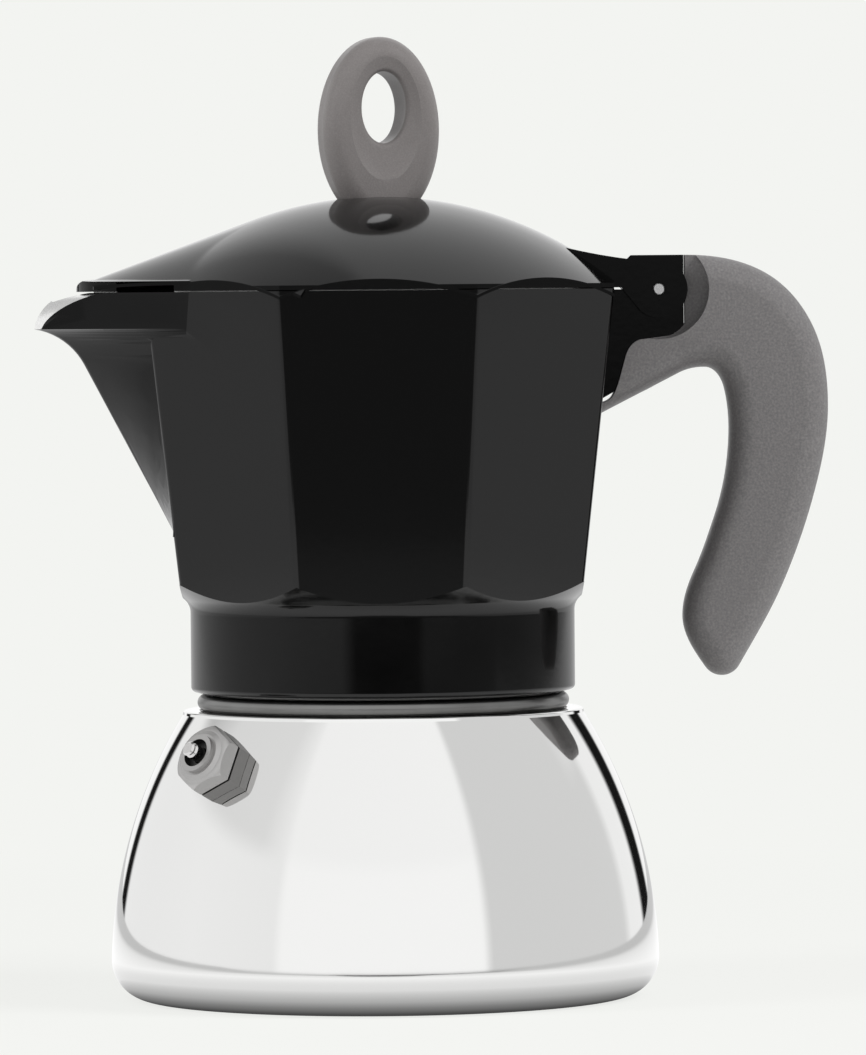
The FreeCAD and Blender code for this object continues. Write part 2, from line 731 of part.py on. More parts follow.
def jug_foot():
    """Turned envelope of the jug: the band's soft bend into a flare, open above."""
    reach = 2 * jug_rim_apothem
    rise = foot_slope * (jug_foot_apothem - skirt_r)
    corner = vec(skirt_r, 0, jug_foot_z - rise)
    turn = math.atan(foot_slope)
    low = vec(skirt_r, 0, corner.z - foot_bend)
    on_flare = corner.add(vec(foot_bend * math.cos(turn), 0, foot_bend * math.sin(turn)))
    edge = vec(reach, 0, corner.z + foot_slope * (reach - skirt_r))
    return revolve_edges([bend(low, corner, on_flare)] + chain(
        [on_flare, edge, vec(reach, 0, jug_rim_z), vec(0, 0, jug_rim_z), vec(0, 0, jug_under_z - jug_lap),
         vec(skirt_r, 0, jug_under_z - jug_lap), low]))


def jug_recess():
    """Room under the jug for the boiler's neck, its thread, the gasket and the filter."""
    thread_r = neck_r + thread_play
    ring_r = gasket_r + seat_gap
    return revolve([(0, 0), (thread_r, 0), (thread_r, gasket_z - recess_step), (ring_r, gasket_z),
                    (ring_r, jug_under_z), (0, jug_under_z)])


def collector_body():
    """Jug with its skirt, floor, riser, spout and bracket, cast in one."""
    low_z = jug_under_z - jug_lap
    outer = jug_block(0.0, low_z, jug_rim_z).common(jug_foot())
    skirt = revolve([(0, skirt_bottom_z), (skirt_r - skirt_round, skirt_bottom_z),
                     (skirt_r, skirt_bottom_z + skirt_round), (skirt_r, low_z), (0, low_z)])
    back_x = jug_rim_apothem - spout_bury
    body = outer.fuse(skirt).fuse(spout_shape(0.0, back_x)).fuse(prism_y(bracket_profile(), bracket_w / 2))
    hollow = jug_block(jug_wall_t, jug_floor_z, jug_rim_z + jug_lap)
    reach = 2 * jug_rim_apothem
    above = Part.makeBox(2 * reach, 2 * reach, reach, vec(-reach, -reach, jug_floor_z + spout_bury))
    channel = spout_shape(spout_wall_t, back_x - spout_bury).common(above)
    body = body.cut(hollow).cut(channel)
    for tool in lip_tools():
        body = body.cut(tool)
    body = body.fuse(jug_column()).cut(jug_recess()).cut(jug_column_bore())
    pin_hole = cylinder_y(pin_r + pin_fit, bracket_w, hinge_x, hinge_z)
    return solid_of(body.cut(pin_hole).cut(handle_screw_hole(handle_screw_r)))


# ---------------------------------------------------------------- handle

# The grip's sweeps in side view: x and z from the hinge pin, and the heading in degrees,
# 0 along +X and 90 upwards.
grip_outer = [(5.3, 6.8, 0), (21.4, 3.1, -30), (30.8, -7.6, -65), (33.7, -23.2, -90),
              (31.0, -40.2, -105), (24.2, -59.4, -114)]
grip_inner = [(4.5, -65.4, 90), (7.0, -56.2, 65), (11.0, -45.6, 71), (14.0, -29.2, 88),
              (13.2, -20.0, 103), (9.2, -15.6, 178), (4.0, -16.7, 207)]
cheek_foot = [(-11.6, -24.8, 84), (-11.35, -22.6, 84)]  # front of the grip, along the jug's wall
cheek_edge = [(-11.35, -22.6, 15), (-9.2, -21.1, 62), (-7.2, -15.1, 74), (-5.7, -11.3, 50),
              (-3.6, -10.0, 8), (1.8, -9.3, 8), (5.3, -6.8, 50)]
grip_tip = (12.1, -73.2)    # centre of the rounded tip
grip_tip_from = -30.0       # degrees: the tip's arc runs from the outer sweep
grip_tip_to = -145.0        # to the inner one


def on_tip(degrees):
    """Point on the tip's arc, with the heading of someone walking round it clockwise."""
    turn = math.radians(degrees)
    return (grip_tip[0] + grip_tip_r * math.cos(turn), grip_tip[1] + grip_tip_r * math.sin(turn),
            degrees - 90)


def from_pin(x, z):
    return vec(hinge_x + x, 0, hinge_z + z)


def sweep_curves(stations):
    """Curves in side view from station to station, each leaving and arriving on its heading."""
    curves = []
    for (x0, z0, h0), (x1, z1, h1) in zip(stations, stations[1:]):
        turn = math.radians((h1 - h0 + 180) % 360 - 180)
        chord = math.hypot(x1 - x0, z1 - z0)
        share = 4 / 3 * math.tan(turn / 4) / (2 * math.sin(turn / 2)) if abs(turn) > 0.01 else 1 / 3
        a, b = math.radians(h0), math.radians(h1)
        reach = share * chord
        curve = Part.BezierCurve()
        curve.setPoles([from_pin(x0, z0), from_pin(x0 + reach * math.cos(a), z0 + reach * math.sin(a)),
                        from_pin(x1 - reach * math.cos(b), z1 - reach * math.sin(b)), from_pin(x1, z1)])
        curves.append(curve.toShape())
    return curves


def grip_outline():
    """Side view of the handle: an outer and an inner sweep joined by a rounded tip."""
    first, middle, last = [on_tip(d) for d in
                           (grip_tip_from, (grip_tip_from + grip_tip_to) / 2, grip_tip_to)]
    corners = [from_pin(x, z) for x, z, _ in (first, middle, last)]
    outer = sweep_curves(grip_outer + [first])
    inner = sweep_curves([last] + grip_inner)
    top = from_pin(*grip_outer[0][:2])
    under = from_pin(*grip_inner[-1][:2])
    heading = math.radians(grip_inner[-1][2])
    length = 2 * handle_w
    foot = vec(under.x + length * math.cos(heading), 0, under.z + length * math.sin(heading))
    return outer + [Part.Arc(*corners).toShape()] + inner + chain(
        [under, foot, vec(foot.x, 0, top.z), top])


def grip_front():
    """What the handle leaves free in front: the bracket's wedge and the hinge."""
    edges = sweep_curves(cheek_foot) + sweep_curves(cheek_edge)
    foot, last = from_pin(*cheek_foot[0][:2]), from_pin(*cheek_edge[-1][:2])
    top_z = hinge_z + handle_w
    far_x = jug_foot_apothem / 2
    edges += chain([last, vec(last.x, 0, top_z), vec(far_x, 0, top_z), vec(far_x, 0, jug_floor_z),
                    vec(foot.x, 0, jug_floor_z), foot])
    return plate_y(edges, -handle_w, handle_w)


def underside_frame():
    """Placement of the handle screw: its axis square to the grip's underside, pointing up."""
    (x0, z0), (x1, z1) = grip_inner[-1][:2], cheek_foot[0][:2]
    along = math.atan2(z0 - z1, x0 - x1)
    foot = from_pin(x1 + handle_screw_at * (x0 - x1), z1 + handle_screw_at * (z0 - z1))
    return Placement(foot, Rotation(vec(0, 1, 0), -math.degrees(along)))


def handle_screw_hole(radius):
    hole = Part.makeCylinder(radius, handle_screw_len + screw_play)
    hole.Placement = underside_frame()
    return hole


def handle_blank():
    """Grip with its long edges rounded, before it is fitted to the bracket."""
    wire = Part.Wire(Part.__sortEdges__(grip_outline()))
    body = Part.Face(wire).extrude(vec(0, handle_w, 0))
    body.translate(vec(0, -handle_w / 2, 0))
    side = [e for e in body.Edges if e.BoundBox.YLength < 1e-6
            and not (e.Curve.TypeId == "Part::GeomLine" and e.BoundBox.XLength < 1e-6)]
    return body.makeFillet(handle_edge_r, side)


def handle():
    """Moulded grip: slotted over the bracket, hollowed at both sides for the lid's ears."""
    body = handle_blank().cut(grip_front())
    body = body.cut(prism_y(bracket_profile(), bracket_w / 2 + handle_slot_gap))
    for side in (1, -1):
        body = body.cut(Part.makeCylinder(handle_swing_r, handle_w, vec(hinge_x, side * ear_in_y, hinge_z),
                                          vec(0, side, 0)))
    head_room = revolve([(0, -handle_w), (handle_screw_head_r + screw_play, -handle_w),
                         (handle_screw_head_r + screw_play, handle_screw_head_t), (0, handle_screw_head_t)])
    head_room.Placement = underside_frame()
    return solid_of(body.cut(head_room).cut(handle_screw_hole(handle_screw_r + screw_play)))


def handle_screw():
    """Screw from the finger side up into the bracket's tongue."""
    head_z = handle_screw_head_t - seat_gap
    body = revolve([(0, 0), (handle_screw_head_r - screw_edge, 0), (handle_screw_head_r, screw_edge),
                    (handle_screw_head_r, head_z), (handle_screw_r - bond_gap, head_z),
                    (handle_screw_r - bond_gap, handle_screw_len), (0, handle_screw_len)])
    body = body.cut(screw_slot(handle_screw_head_r, 0))
    body.Placement = underside_frame()
    return solid_of(body)


# ---------------------------------------------------------------- hinge, lid and knob

def screw_slot(head_r, z):
    """Slot across a screw's head that faces down, the head's face at z."""
    return Part.makeBox(4 * head_r, screw_slot_w, screw_slot_d, vec(-2 * head_r, -screw_slot_w / 2, z))


def hinge_pin():
    half = ear_out_y + bond_gap
    pin = cylinder_y(pin_r, half, hinge_x, hinge_z)
    ends = [e for e in pin.Edges if e.Curve.TypeId == "Part::GeomCircle"]
    return pin.makeChamfer(pin_chamfer, ends)


def dome_z(radius, inset=0.0):
    """Height of the dome at a distance from the axis, moved inwards by inset."""
    return dome_mid_z + math.sqrt((dome_r - inset) ** 2 - radius ** 2)


def dome_ball(inset):
    return Part.makeSphere(dome_r - inset, vec(0, 0, dome_mid_z))


def lid_octagon(inset, z0, z1):
    wire = octagon(jug_rim_apothem - inset, z0)
    return Part.Face(wire).extrude(vec(0, 0, z1 - z0))


rim_corner_x = spout_corner_x(jug_rim_z, spout_tip_x)
rim_back_x = spout_root_x(jug_rim_z) - spout_bury
rim_slope = spout_rim_half_w / (rim_corner_x - spout_root_x(jug_rim_z))


def vee_prism(nose_w, inset, z0, z1):
    """Prism over the spout's vee at the rim, between two heights."""
    prism = Part.Face(vee(jug_rim_z, rim_corner_x, nose_w, inset, rim_back_x)).extrude(vec(0, 0, z1 - z0))
    prism.translate(vec(0, 0, z0 - jug_rim_z))
    return prism


def lid_plan(inset, z0, z1):
    """Prism over the rim's outline, octagon and spout together, moved inwards by inset."""
    return lid_octagon(inset, z0, z1).fuse(vee_prism(spout_nose_w, inset, z0, z1))


def roof_top():
    """Place and height where the ridge over the spout, a tangent of the dome, touches it."""
    dz = roof_front_z - dome_mid_z
    turn = math.atan2(dz, roof_front_x) + math.acos(dome_r / math.hypot(roof_front_x, dz))
    return dome_r * math.cos(turn), dome_mid_z + dome_r * math.sin(turn)


def roof_section(x, ridge_z, inset):
    """Gable across the spout at one x: a ridge in the middle, eaves above the rim's outline."""
    half_w = (rim_corner_x - x) * rim_slope
    eaves_z = jug_rim_z + roof_eave_rise - inset
    low_z = lid_low_z - inset
    corners = [(0, ridge_z - inset), (half_w, eaves_z), (half_w, low_z), (-half_w, low_z),
               (-half_w, eaves_z), (0, ridge_z - inset)]
    return Part.makePolygon([vec(-x, y, z) for y, z in corners])


def roof_body(inset):
    """Roof over the spout, from the dome to the rounded nose, moved inwards by inset."""
    back_x, back_z = roof_top()
    nose_x = roof_front_x + roof_nose
    sections = [roof_section(x, z, inset) for x, z in
                ((back_x, back_z), (roof_front_x, roof_front_z), (nose_x, roof_front_z))]
    low_z, ridge_z = lid_low_z - inset, roof_front_z - inset
    nose_w = 2 * (rim_corner_x - nose_x) * rim_slope
    plan = vee_prism(nose_w, inset, low_z, lid_crown_z)
    front = vec(-roof_front_x, 0, ridge_z)
    tip = vec(inset - nose_x, 0, low_z)
    side = [bend(front, vec(tip.x, 0, ridge_z), tip)]
    side += chain([tip, vec(-back_x, 0, low_z), vec(-back_x, 0, lid_crown_z),
                   vec(front.x, 0, lid_crown_z), front])
    cap = plate_y(side, -2 * spout_rim_half_w, 2 * spout_rim_half_w)
    return Part.makeLoft(sections, True, True).common(plan).common(cap)


def lid_rim():
    """Band inside the lid's lower edge and the lip that drops into the jug, open over the spout."""
    lip_out = jug_wall_t + lid_lip_play
    top_z = jug_rim_z + lid_side_h
    band = lid_plan(lid_t / 2, lid_low_z, top_z)
    lip = lid_plan(lip_out, jug_rim_z - lid_lip_h, top_z)
    bore = lid_plan(lip_out + lid_lip_t, jug_rim_z - 2 * lid_lip_h, top_z + lid_lip_h)
    reach = 2 * spout_tip_x
    mouth = Part.makeBox(reach, 2 * reach, reach, vec(-reach - roof_front_x, -reach, jug_floor_z))
    return band.fuse(lip).cut(bore).cut(mouth)


def ear_point(degrees):
    """Point on an ear's round end, in side view."""
    turn = math.radians(degrees)
    return vec(hinge_x + ear_r * math.cos(turn), 0, hinge_z + ear_r * math.sin(turn))


def lid_ear(side):
    """Arm from the dome to the pin, with a hollow top line and a round end."""
    start_x = hinge_x - ear_start
    start = vec(start_x, 0, dome_z(math.hypot(start_x, ear_out_y)))
    dip = vec(hinge_x - ear_dip_run, 0, hinge_z + ear_r + ear_dip_rise)
    over, far, under = ear_point(105), ear_point(0), ear_point(-128)
    edges = [Part.Arc(start, dip, over).toShape(), Part.Arc(over, far, under).toShape()]
    edges += chain([under, vec(jug_rim_apothem + ear_heel, 0, lid_low_z), vec(start_x, 0, lid_low_z), start])
    return plate_y(edges, *sorted((side * ear_in_y, side * ear_out_y)))


def lid():
    """Dome with a roof over the spout, a rim that fits the jug, and two ears for the pin."""
    outer = dome_ball(0.0).common(lid_octagon(0.0, lid_low_z, lid_crown_z))
    outer = outer.fuse(lid_octagon(0.0, lid_low_z, jug_rim_z + lid_side_h)).fuse(roof_body(0.0))
    outer = outer.fuse(lid_ear(1)).fuse(lid_ear(-1))
    hollow = dome_ball(lid_t).common(lid_octagon(lid_t, lid_low_z - lid_t, lid_crown_z))
    body = outer.cut(hollow.fuse(roof_body(lid_t))).fuse(lid_rim())
    swing_r = math.hypot(bracket_front, bracket_rise) + lid_swing_gap
    body = body.cut(cylinder_y(swing_r, ear_in_y, hinge_x, hinge_z))
    vent_h = vent_rise + lid_gap
    vent = Part.makeBox(vent_len, spout_rim_half_w, vent_h,
                        vec(vent_start - spout_tip_x, -spout_rim_half_w - spout_wall_t,
                            jug_rim_z + vent_rise - vent_h))
    body = body.cut(vent).cut(cylinder_y(pin_r + pin_play, 2 * ear_out_y, hinge_x, hinge_z))
    for side in (1, -1):
        seat = vec(hinge_x, side * (ear_out_y - pin_recess), hinge_z)
        body = body.cut(Part.makeCylinder(pin_recess_r, ear_w, seat, vec(0, side, 0)))
    hole = Part.makeCylinder(knob_screw_r + screw_play, 4 * lid_t, vec(0, 0, lid_crown_z - 3 * lid_t))
    return solid_of(body.cut(hole))


def oval_plate(half_w, half_h, mid_z, half_t):
    """Upright plate, oval in front view, centred on the axis."""
    middle = vec(0, -half_t, mid_z)
    outline = Part.Ellipse(middle.add(vec(0, 0, half_h)), middle.add(vec(half_w, 0, 0)), middle)
    return Part.Face(Part.Wire([outline.toShape()])).extrude(vec(0, 2 * half_t, 0))


def knob_dish(side):
    """Oval body that hollows one face of the knob round its eye."""
    ahead = knob_dish_round - knob_dish_depth
    grow = 1 / math.sqrt(1 - (ahead / knob_dish_round) ** 2)
    scale = FreeCAD.Matrix()
    scale.scale(grow * knob_dish_half_w, knob_dish_round, grow * knob_dish_half_h)
    ball = Part.makeSphere(1.0).transformGeometry(scale)
    ball.translate(vec(0, side * (knob_t / 2 + ahead), knob_mid_z + knob_dish_rise))
    return ball


def knob():
    """Upright ring, dished round its eye on both faces, standing on the dome."""
    body = oval_plate(knob_half_w, knob_half_h, knob_mid_z, knob_t / 2)
    rims = [e for e in body.Edges if e.Curve.TypeId != "Part::GeomLine"]
    body = body.makeFillet(knob_edge_r, rims).cut(knob_dish(1)).cut(knob_dish(-1))
    body = body.cut(oval_plate(knob_hole_half_w, knob_hole_half_h, knob_hole_z, knob_t))
    mouth = [e for e in body.Edges if e.Curve.TypeId != "Part::GeomLine"
             and abs(e.BoundBox.ZLength - 2 * knob_hole_half_h) < knob_hole_edge_r]
    body = body.makeFillet(knob_hole_edge_r, mouth)
    bore = Part.makeCylinder(knob_screw_r + bond_gap, knob_screw_in + lid_t, vec(0, 0, knob_seat_z - lid_t))
    body = body.cut(dome_ball(-bond_gap)).cut(bore)
    body.rotate(vec(0, 0, 0), vec(0, 0, 1), knob_turn)
    return body.Solids[0]


washer_top_z = dome_z(washer_r, lid_t) - bond_gap       # a flat washer meets the dome at its rim


def knob_washer():
    return tube(washer_r, knob_screw_r + screw_play, washer_top_z - washer_t, washer_top_z)


def knob_screw():
    """Screw from under the lid, with a slotted pan head."""
    top = washer_top_z - washer_t - bond_gap
    low = top - knob_screw_head_t
    end = knob_seat_z + knob_screw_in - bond_gap
    body = revolve([(0, low), (knob_screw_head_r - screw_edge, low), (knob_screw_head_r, low + screw_edge),
                    (knob_screw_head_r, top), (knob_screw_r, top), (knob_screw_r, end - screw_edge),
                    (knob_screw_r - screw_edge, end), (0, end)])
    return solid_of(body.cut(screw_slot(knob_screw_head_r, low)))


NODES = {
    "boiler_shell": boiler_shell,
    "boiler_liner": boiler_liner,
    "valve_boss": valve_boss,
    "valve_washer": valve_washer,
    "valve_body": valve_body,
    "valve_seat": valve_seat,
    "valve_stem": valve_stem,
    "valve_spring": valve_spring,
    "funnel_basket": funnel_basket,
    "funnel_tube": funnel_tube,
    "funnel_sieve": funnel_sieve,
    "gasket": gasket,
    "filter_plate": filter_plate,
    "collector_body": collector_body,
    "handle": handle,
    "handle_screw": handle_screw,
    "hinge_pin": hinge_pin,
    "lid": lid,
    "knob": knob,
    "knob_washer": knob_washer,
    "knob_screw": knob_screw,
}

os.makedirs("parts", exist_ok=True)
for name, make in NODES.items():
    shape = make()
    print(name, shape.ShapeType, len(shape.Solids), round(shape.Volume), shape.isValid(),
          len(shape.Faces))
    shape.exportStep("parts/" + name + ".step")
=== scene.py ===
import bmesh
import bpy
import json
import math
import numpy as np
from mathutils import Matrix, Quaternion, Vector


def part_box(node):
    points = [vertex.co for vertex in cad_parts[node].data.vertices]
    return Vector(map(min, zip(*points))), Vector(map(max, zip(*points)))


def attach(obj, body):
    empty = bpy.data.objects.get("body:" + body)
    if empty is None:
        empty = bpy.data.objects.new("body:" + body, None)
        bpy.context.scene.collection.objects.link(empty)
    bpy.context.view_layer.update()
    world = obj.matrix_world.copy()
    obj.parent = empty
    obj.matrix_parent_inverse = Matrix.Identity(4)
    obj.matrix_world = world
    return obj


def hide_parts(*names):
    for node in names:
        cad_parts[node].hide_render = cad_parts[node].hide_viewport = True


# Stove-top moka pot: mirror-polished steel boiler, black enamelled octagonal jug and lid, grey grip and knob.
# Metres. +Z is up, the spout points along -X and the grip along +X. The origin is the centre of the flat base.

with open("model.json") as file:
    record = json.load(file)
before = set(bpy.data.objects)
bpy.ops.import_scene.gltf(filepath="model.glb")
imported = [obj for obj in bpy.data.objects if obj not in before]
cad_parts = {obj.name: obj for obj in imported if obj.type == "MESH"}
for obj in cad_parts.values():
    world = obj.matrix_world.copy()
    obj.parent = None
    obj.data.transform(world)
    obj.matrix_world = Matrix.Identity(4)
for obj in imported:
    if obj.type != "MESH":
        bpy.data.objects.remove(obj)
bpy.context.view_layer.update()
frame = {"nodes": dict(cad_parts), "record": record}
MM = 0.001

# ---- sizes shared with the solids ----
base_r, base_corner_r = 54.8 * MM, 8.0 * MM
belly_r, belly_z = 51.3 * MM, 31.4 * MM
shoulder_r = 39.6 * MM
shoulder_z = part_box("boiler_shell")[1][2]
shell_t, shell_lip_r = 0.8 * MM, 36.8 * MM
neck_r, neck_bore_r = 34.0 * MM, 34.6 * MM      # the boiler's neck, and the bore of the jug that screws on it
thread_pitch, thread_depth, thread_turns = 3.0 * MM, 0.45 * MM, 3
jug_low_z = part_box("collector_body")[0][2]
jug_skirt_r = 38.4 * MM
jug_foot_z, jug_rim_z = 80.12 * MM, 141.42 * MM
jug_foot_half, jug_flare, jug_wall_t = 39.75 * MM, 6.75 * MM, 2.4 * MM
skirt_round, foot_bend = 1.0 * MM, 1.6 * MM     # the skirt's lower edge, and the bend where it meets the flare
foot_slope = 0.9                                # the flare's rise over its run
dome_r, dome_top_z = 74.0 * MM, jug_rim_z + 18.7 * MM
vee_root_x, vee_root_half = 37.36 * MM, 28.4 * MM       # the spout's vee in plan at the rim, behind
vee_corner_x = 69.93 * MM                               # and the corner that its sides run to
roof_front_x, roof_front_z = 56.9 * MM, jug_rim_z + 2.66 * MM
roof_eave_z, roof_pitch = jug_rim_z + 2.2 * MM, 0.494
roof_hip_soft, roof_valley_soft = 3.2 * MM, 0.5 * MM    # how wide the roof's edges round over
spout_join_x, spout_join_z = -36.0 * MM, (93.5 * MM, 118.0 * MM)    # where the spout's sides leave the facets
valve_turn, valve_z = math.radians(225.5), 47.8 * MM
valve_mouth_r = 2.9 * MM
post_half_w, post_foot_x = 4.3 * MM, 41.0 * MM  # the hinge post stands outside the jug's wall
lip_points = [(-69.2 * MM, 134.2 * MM), (-66.6 * MM, 139.08 * MM), (-61.5 * MM, 141.42 * MM)]
lip_back = (0.8, 0.5)                           # the lip's line runs back to each side, at its tip and its end


# ---------------------------------------------------------------- nodes and colours

def linear(hex_colour):
    """sRGB hex to the linear colour that a shader takes."""
    parts = [int(hex_colour[i:i + 2], 16) / 255 for i in (1, 3, 5)]
    return [p / 12.92 if p <= 0.04045 else ((p + 0.055) / 1.055) ** 2.4 for p in parts] + [1.0]


def node(tree, kind, inputs=None, **settings):
    """Adds one node: settings are its own, inputs are values, or sockets to link from."""
    made = tree.nodes.new(kind)
    for key, value in settings.items():
        setattr(made, key, value)
    for key, value in (inputs or {}).items():
        if isinstance(value, bpy.types.NodeSocket):
            tree.links.new(value, made.inputs[key])
        else:
            made.inputs[key].default_value = value
    return made


def stops(ramp, places):
    """Sets a colour ramp's stops from (place, grey or colour) pairs."""
    band = ramp.color_ramp
    while len(band.elements) < len(places):
        band.elements.new(0.5)
    for element, (place, value) in zip(band.elements, places):
        element.position = place
        element.color = value if isinstance(value, list) else [value, value, value, 1.0]
    return ramp.outputs["Color"]


def finish_tree(name):
    """A material with an empty tree, and its Object coordinates."""
    material = bpy.data.materials.new(name)
    material.use_nodes = True
    tree = material.node_tree
    tree.nodes.clear()
    place = node(tree, "ShaderNodeTexCoord").outputs["Object"]
    return material, tree, place


# ---------------------------------------------------------------- materials

def mirror_polished_steel():
    # Stainless steel, pressed and buffed to a mirror: sharp reflections with a faint hand-polished waviness.
    material, tree, place = finish_tree("mirror_polished_stainless_steel")
    wave = node(tree, "ShaderNodeTexNoise", {"Vector": place, "Scale": 1 / (45 * MM), "Detail": 2.0})
    bump = node(tree, "ShaderNodeBump", {"Height": wave.outputs[0], "Strength": 0.02, "Distance": 1 * MM})
    haze = node(tree, "ShaderNodeTexNoise", {"Vector": place, "Scale": 1 / (11 * MM), "Detail": 3.0})
    rough = node(tree, "ShaderNodeMapRange", {"Value": haze.outputs[0], "To Min": 0.03, "To Max": 0.06})
    steel_coat = node(tree, "ShaderNodeBsdfPrincipled",
                      {"Base Color": linear("#e4e4e3"), "Metallic": 1.0, "Roughness": rough.outputs[0],
                       "Normal": bump.outputs[0]})
    node(tree, "ShaderNodeOutputMaterial", {"Surface": steel_coat.outputs[0]})
    return material


def turned_aluminium(name, colours, roughness, pitch=0.25 * MM):
    # Aluminium turned on a lathe: rings of fine tool marks round the upright axis, and a faint oxide stain.
    material, tree, place = finish_tree(name)
    split = node(tree, "ShaderNodeSeparateXYZ", {0: place})
    flat = node(tree, "ShaderNodeCombineXYZ", {0: split.outputs[0], 1: split.outputs[1]})
    reach = node(tree, "ShaderNodeVectorMath", {0: flat.outputs[0]}, operation="LENGTH")
    both = node(tree, "ShaderNodeMath", {0: reach.outputs["Value"], 1: split.outputs[2]}, operation="ADD")
    turns = node(tree, "ShaderNodeMath", {0: both.outputs[0], 1: 1 / pitch}, operation="MULTIPLY")
    marks = node(tree, "ShaderNodeTexNoise", {"W": turns.outputs[0], "Scale": 1.0, "Detail": 2.0},
                 noise_dimensions="1D")
    bump = node(tree, "ShaderNodeBump", {"Height": marks.outputs[0], "Strength": 0.12, "Distance": 0.2 * MM})
    stain = node(tree, "ShaderNodeTexNoise", {"Vector": place, "Scale": 1 / (16 * MM), "Detail": 4.0})
    tone = stops(node(tree, "ShaderNodeValToRGB", {0: stain.outputs[0]}),
                 [(0.3, linear(colours[0])), (0.7, linear(colours[1]))])
    metal = node(tree, "ShaderNodeBsdfPrincipled",
                 {"Base Color": tone, "Metallic": 1.0, "Roughness": roughness, "Normal": bump.outputs[0]})
    node(tree, "ShaderNodeOutputMaterial", {"Surface": metal.outputs[0]})
    return material


def blasted_casting(name, colours, roughness, grain=0.35 * MM):
    # Die-cast aluminium, bead-blasted: a pale grey with an even fine pebble and soft, spread highlights.
    material, tree, place = finish_tree(name)
    pebble = node(tree, "ShaderNodeTexNoise", {"Vector": place, "Scale": 1 / grain, "Detail": 3.0})
    tone = stops(node(tree, "ShaderNodeValToRGB", {0: pebble.outputs[0]}),
                 [(0.3, linear(colours[0])), (0.7, linear(colours[1]))])
    bump = node(tree, "ShaderNodeBump", {"Height": pebble.outputs[0], "Strength": 0.2, "Distance": 0.1 * MM})
    metal = node(tree, "ShaderNodeBsdfPrincipled",
                 {"Base Color": tone, "Metallic": 1.0, "Roughness": roughness, "Normal": bump.outputs[0]})
    node(tree, "ShaderNodeOutputMaterial", {"Surface": metal.outputs[0]})
    return material


def black_enamel(name, gloss_ior):
    # Black baked enamel on die-cast aluminium: deep black and glossy, with a sprayed coat's faint orange peel.
    # Copies with a lower IOR throw back less light: they are painted shade, a duller black on edges, on the
    # spout and in the hinge, where the casting lies in shade.
    material, tree, place = finish_tree(name)
    peel = node(tree, "ShaderNodeTexNoise", {"Vector": place, "Scale": 1 / (1.4 * MM), "Detail": 1.0})
    bump = node(tree, "ShaderNodeBump", {"Height": peel.outputs[0], "Strength": 0.02, "Distance": 0.2 * MM})
    haze = node(tree, "ShaderNodeTexNoise", {"Vector": place, "Scale": 1 / (9 * MM), "Detail": 2.0})
    rough = node(tree, "ShaderNodeMapRange", {"Value": haze.outputs[0], "To Min": 0.07, "To Max": 0.11})
    coat = node(tree, "ShaderNodeBsdfPrincipled",
                {"Base Color": linear("#020202"), "Roughness": rough.outputs[0], "IOR": gloss_ior,
                 "Normal": bump.outputs[0]})
    node(tree, "ShaderNodeOutputMaterial", {"Surface": coat.outputs[0]})
    return material


def soft_touch_coat(name, colours, roughness, speck=0.45 * MM):
    # Moulded nylon with a sprayed soft-touch coat: a matt grey with a fine metallic speckle and a sheen that
    # lifts towards the edges. The real speckle is about 0.1 mm, drawn coarser here so that it shows.
    material, tree, place = finish_tree(name)
    speckle = node(tree, "ShaderNodeTexNoise", {"Vector": place, "Scale": 1 / speck, "Detail": 2.0})
    tone = stops(node(tree, "ShaderNodeValToRGB", {0: speckle.outputs[0]}),
                 [(0.3, linear(colours[0])), (0.52, linear(colours[1])), (0.72, linear(colours[2]))])
    bump = node(tree, "ShaderNodeBump", {"Height": speckle.outputs[0], "Strength": 0.2, "Distance": 0.15 * MM})
    coat = node(tree, "ShaderNodeBsdfPrincipled",
                {"Base Color": tone, "Roughness": roughness, "IOR": 1.46, "Normal": bump.outputs[0]})
    node(tree, "ShaderNodeOutputMaterial", {"Surface": coat.outputs[0]})
    return material


def plated_metal(name, colour, roughness, grain=0.7 * MM):
    # Turned and plated small parts: bright, with light scuffs that run in no direction.
    material, tree, place = finish_tree(name)
    scuff = node(tree, "ShaderNodeTexNoise", {"Vector": place, "Scale": 1 / grain, "Detail": 4.0})
    rough = node(tree, "ShaderNodeMapRange", {"Value": scuff.outputs[0], "To Min": roughness - 0.06,
                                              "To Max": roughness + 0.1})
    bump = node(tree, "ShaderNodeBump", {"Height": scuff.outputs[0], "Strength": 0.06, "Distance": 0.2 * MM})
    metal = node(tree, "ShaderNodeBsdfPrincipled",
                 {"Base Color": linear(colour), "Metallic": 1.0, "Roughness": rough.outputs[0],
                  "Normal": bump.outputs[0]})
    node(tree, "ShaderNodeOutputMaterial", {"Surface": metal.outputs[0]})
    return material


def moulded_rubber(name, colours):
    # Moulded silicone or nitrile: dull, slightly waxy, with a faint bloom.
    material, tree, place = finish_tree(name)
    bloom = node(tree, "ShaderNodeTexNoise", {"Vector": place, "Scale": 1 / (1.4 * MM), "Detail": 3.0})
    tone = stops(node(tree, "ShaderNodeValToRGB", {0: bloom.outputs[0]}),
                 [(0.3, linear(colours[0])), (0.7, linear(colours[1]))])
    bump = node(tree, "ShaderNodeBump", {"Height": bloom.outputs[0], "Strength": 0.1, "Distance": 0.2 * MM})
    gum = node(tree, "ShaderNodeBsdfPrincipled",
               {"Base Color": tone, "Roughness": 0.55, "Normal": bump.outputs[0]})
    node(tree, "ShaderNodeOutputMaterial", {"Surface": gum.outputs[0]})
    return material


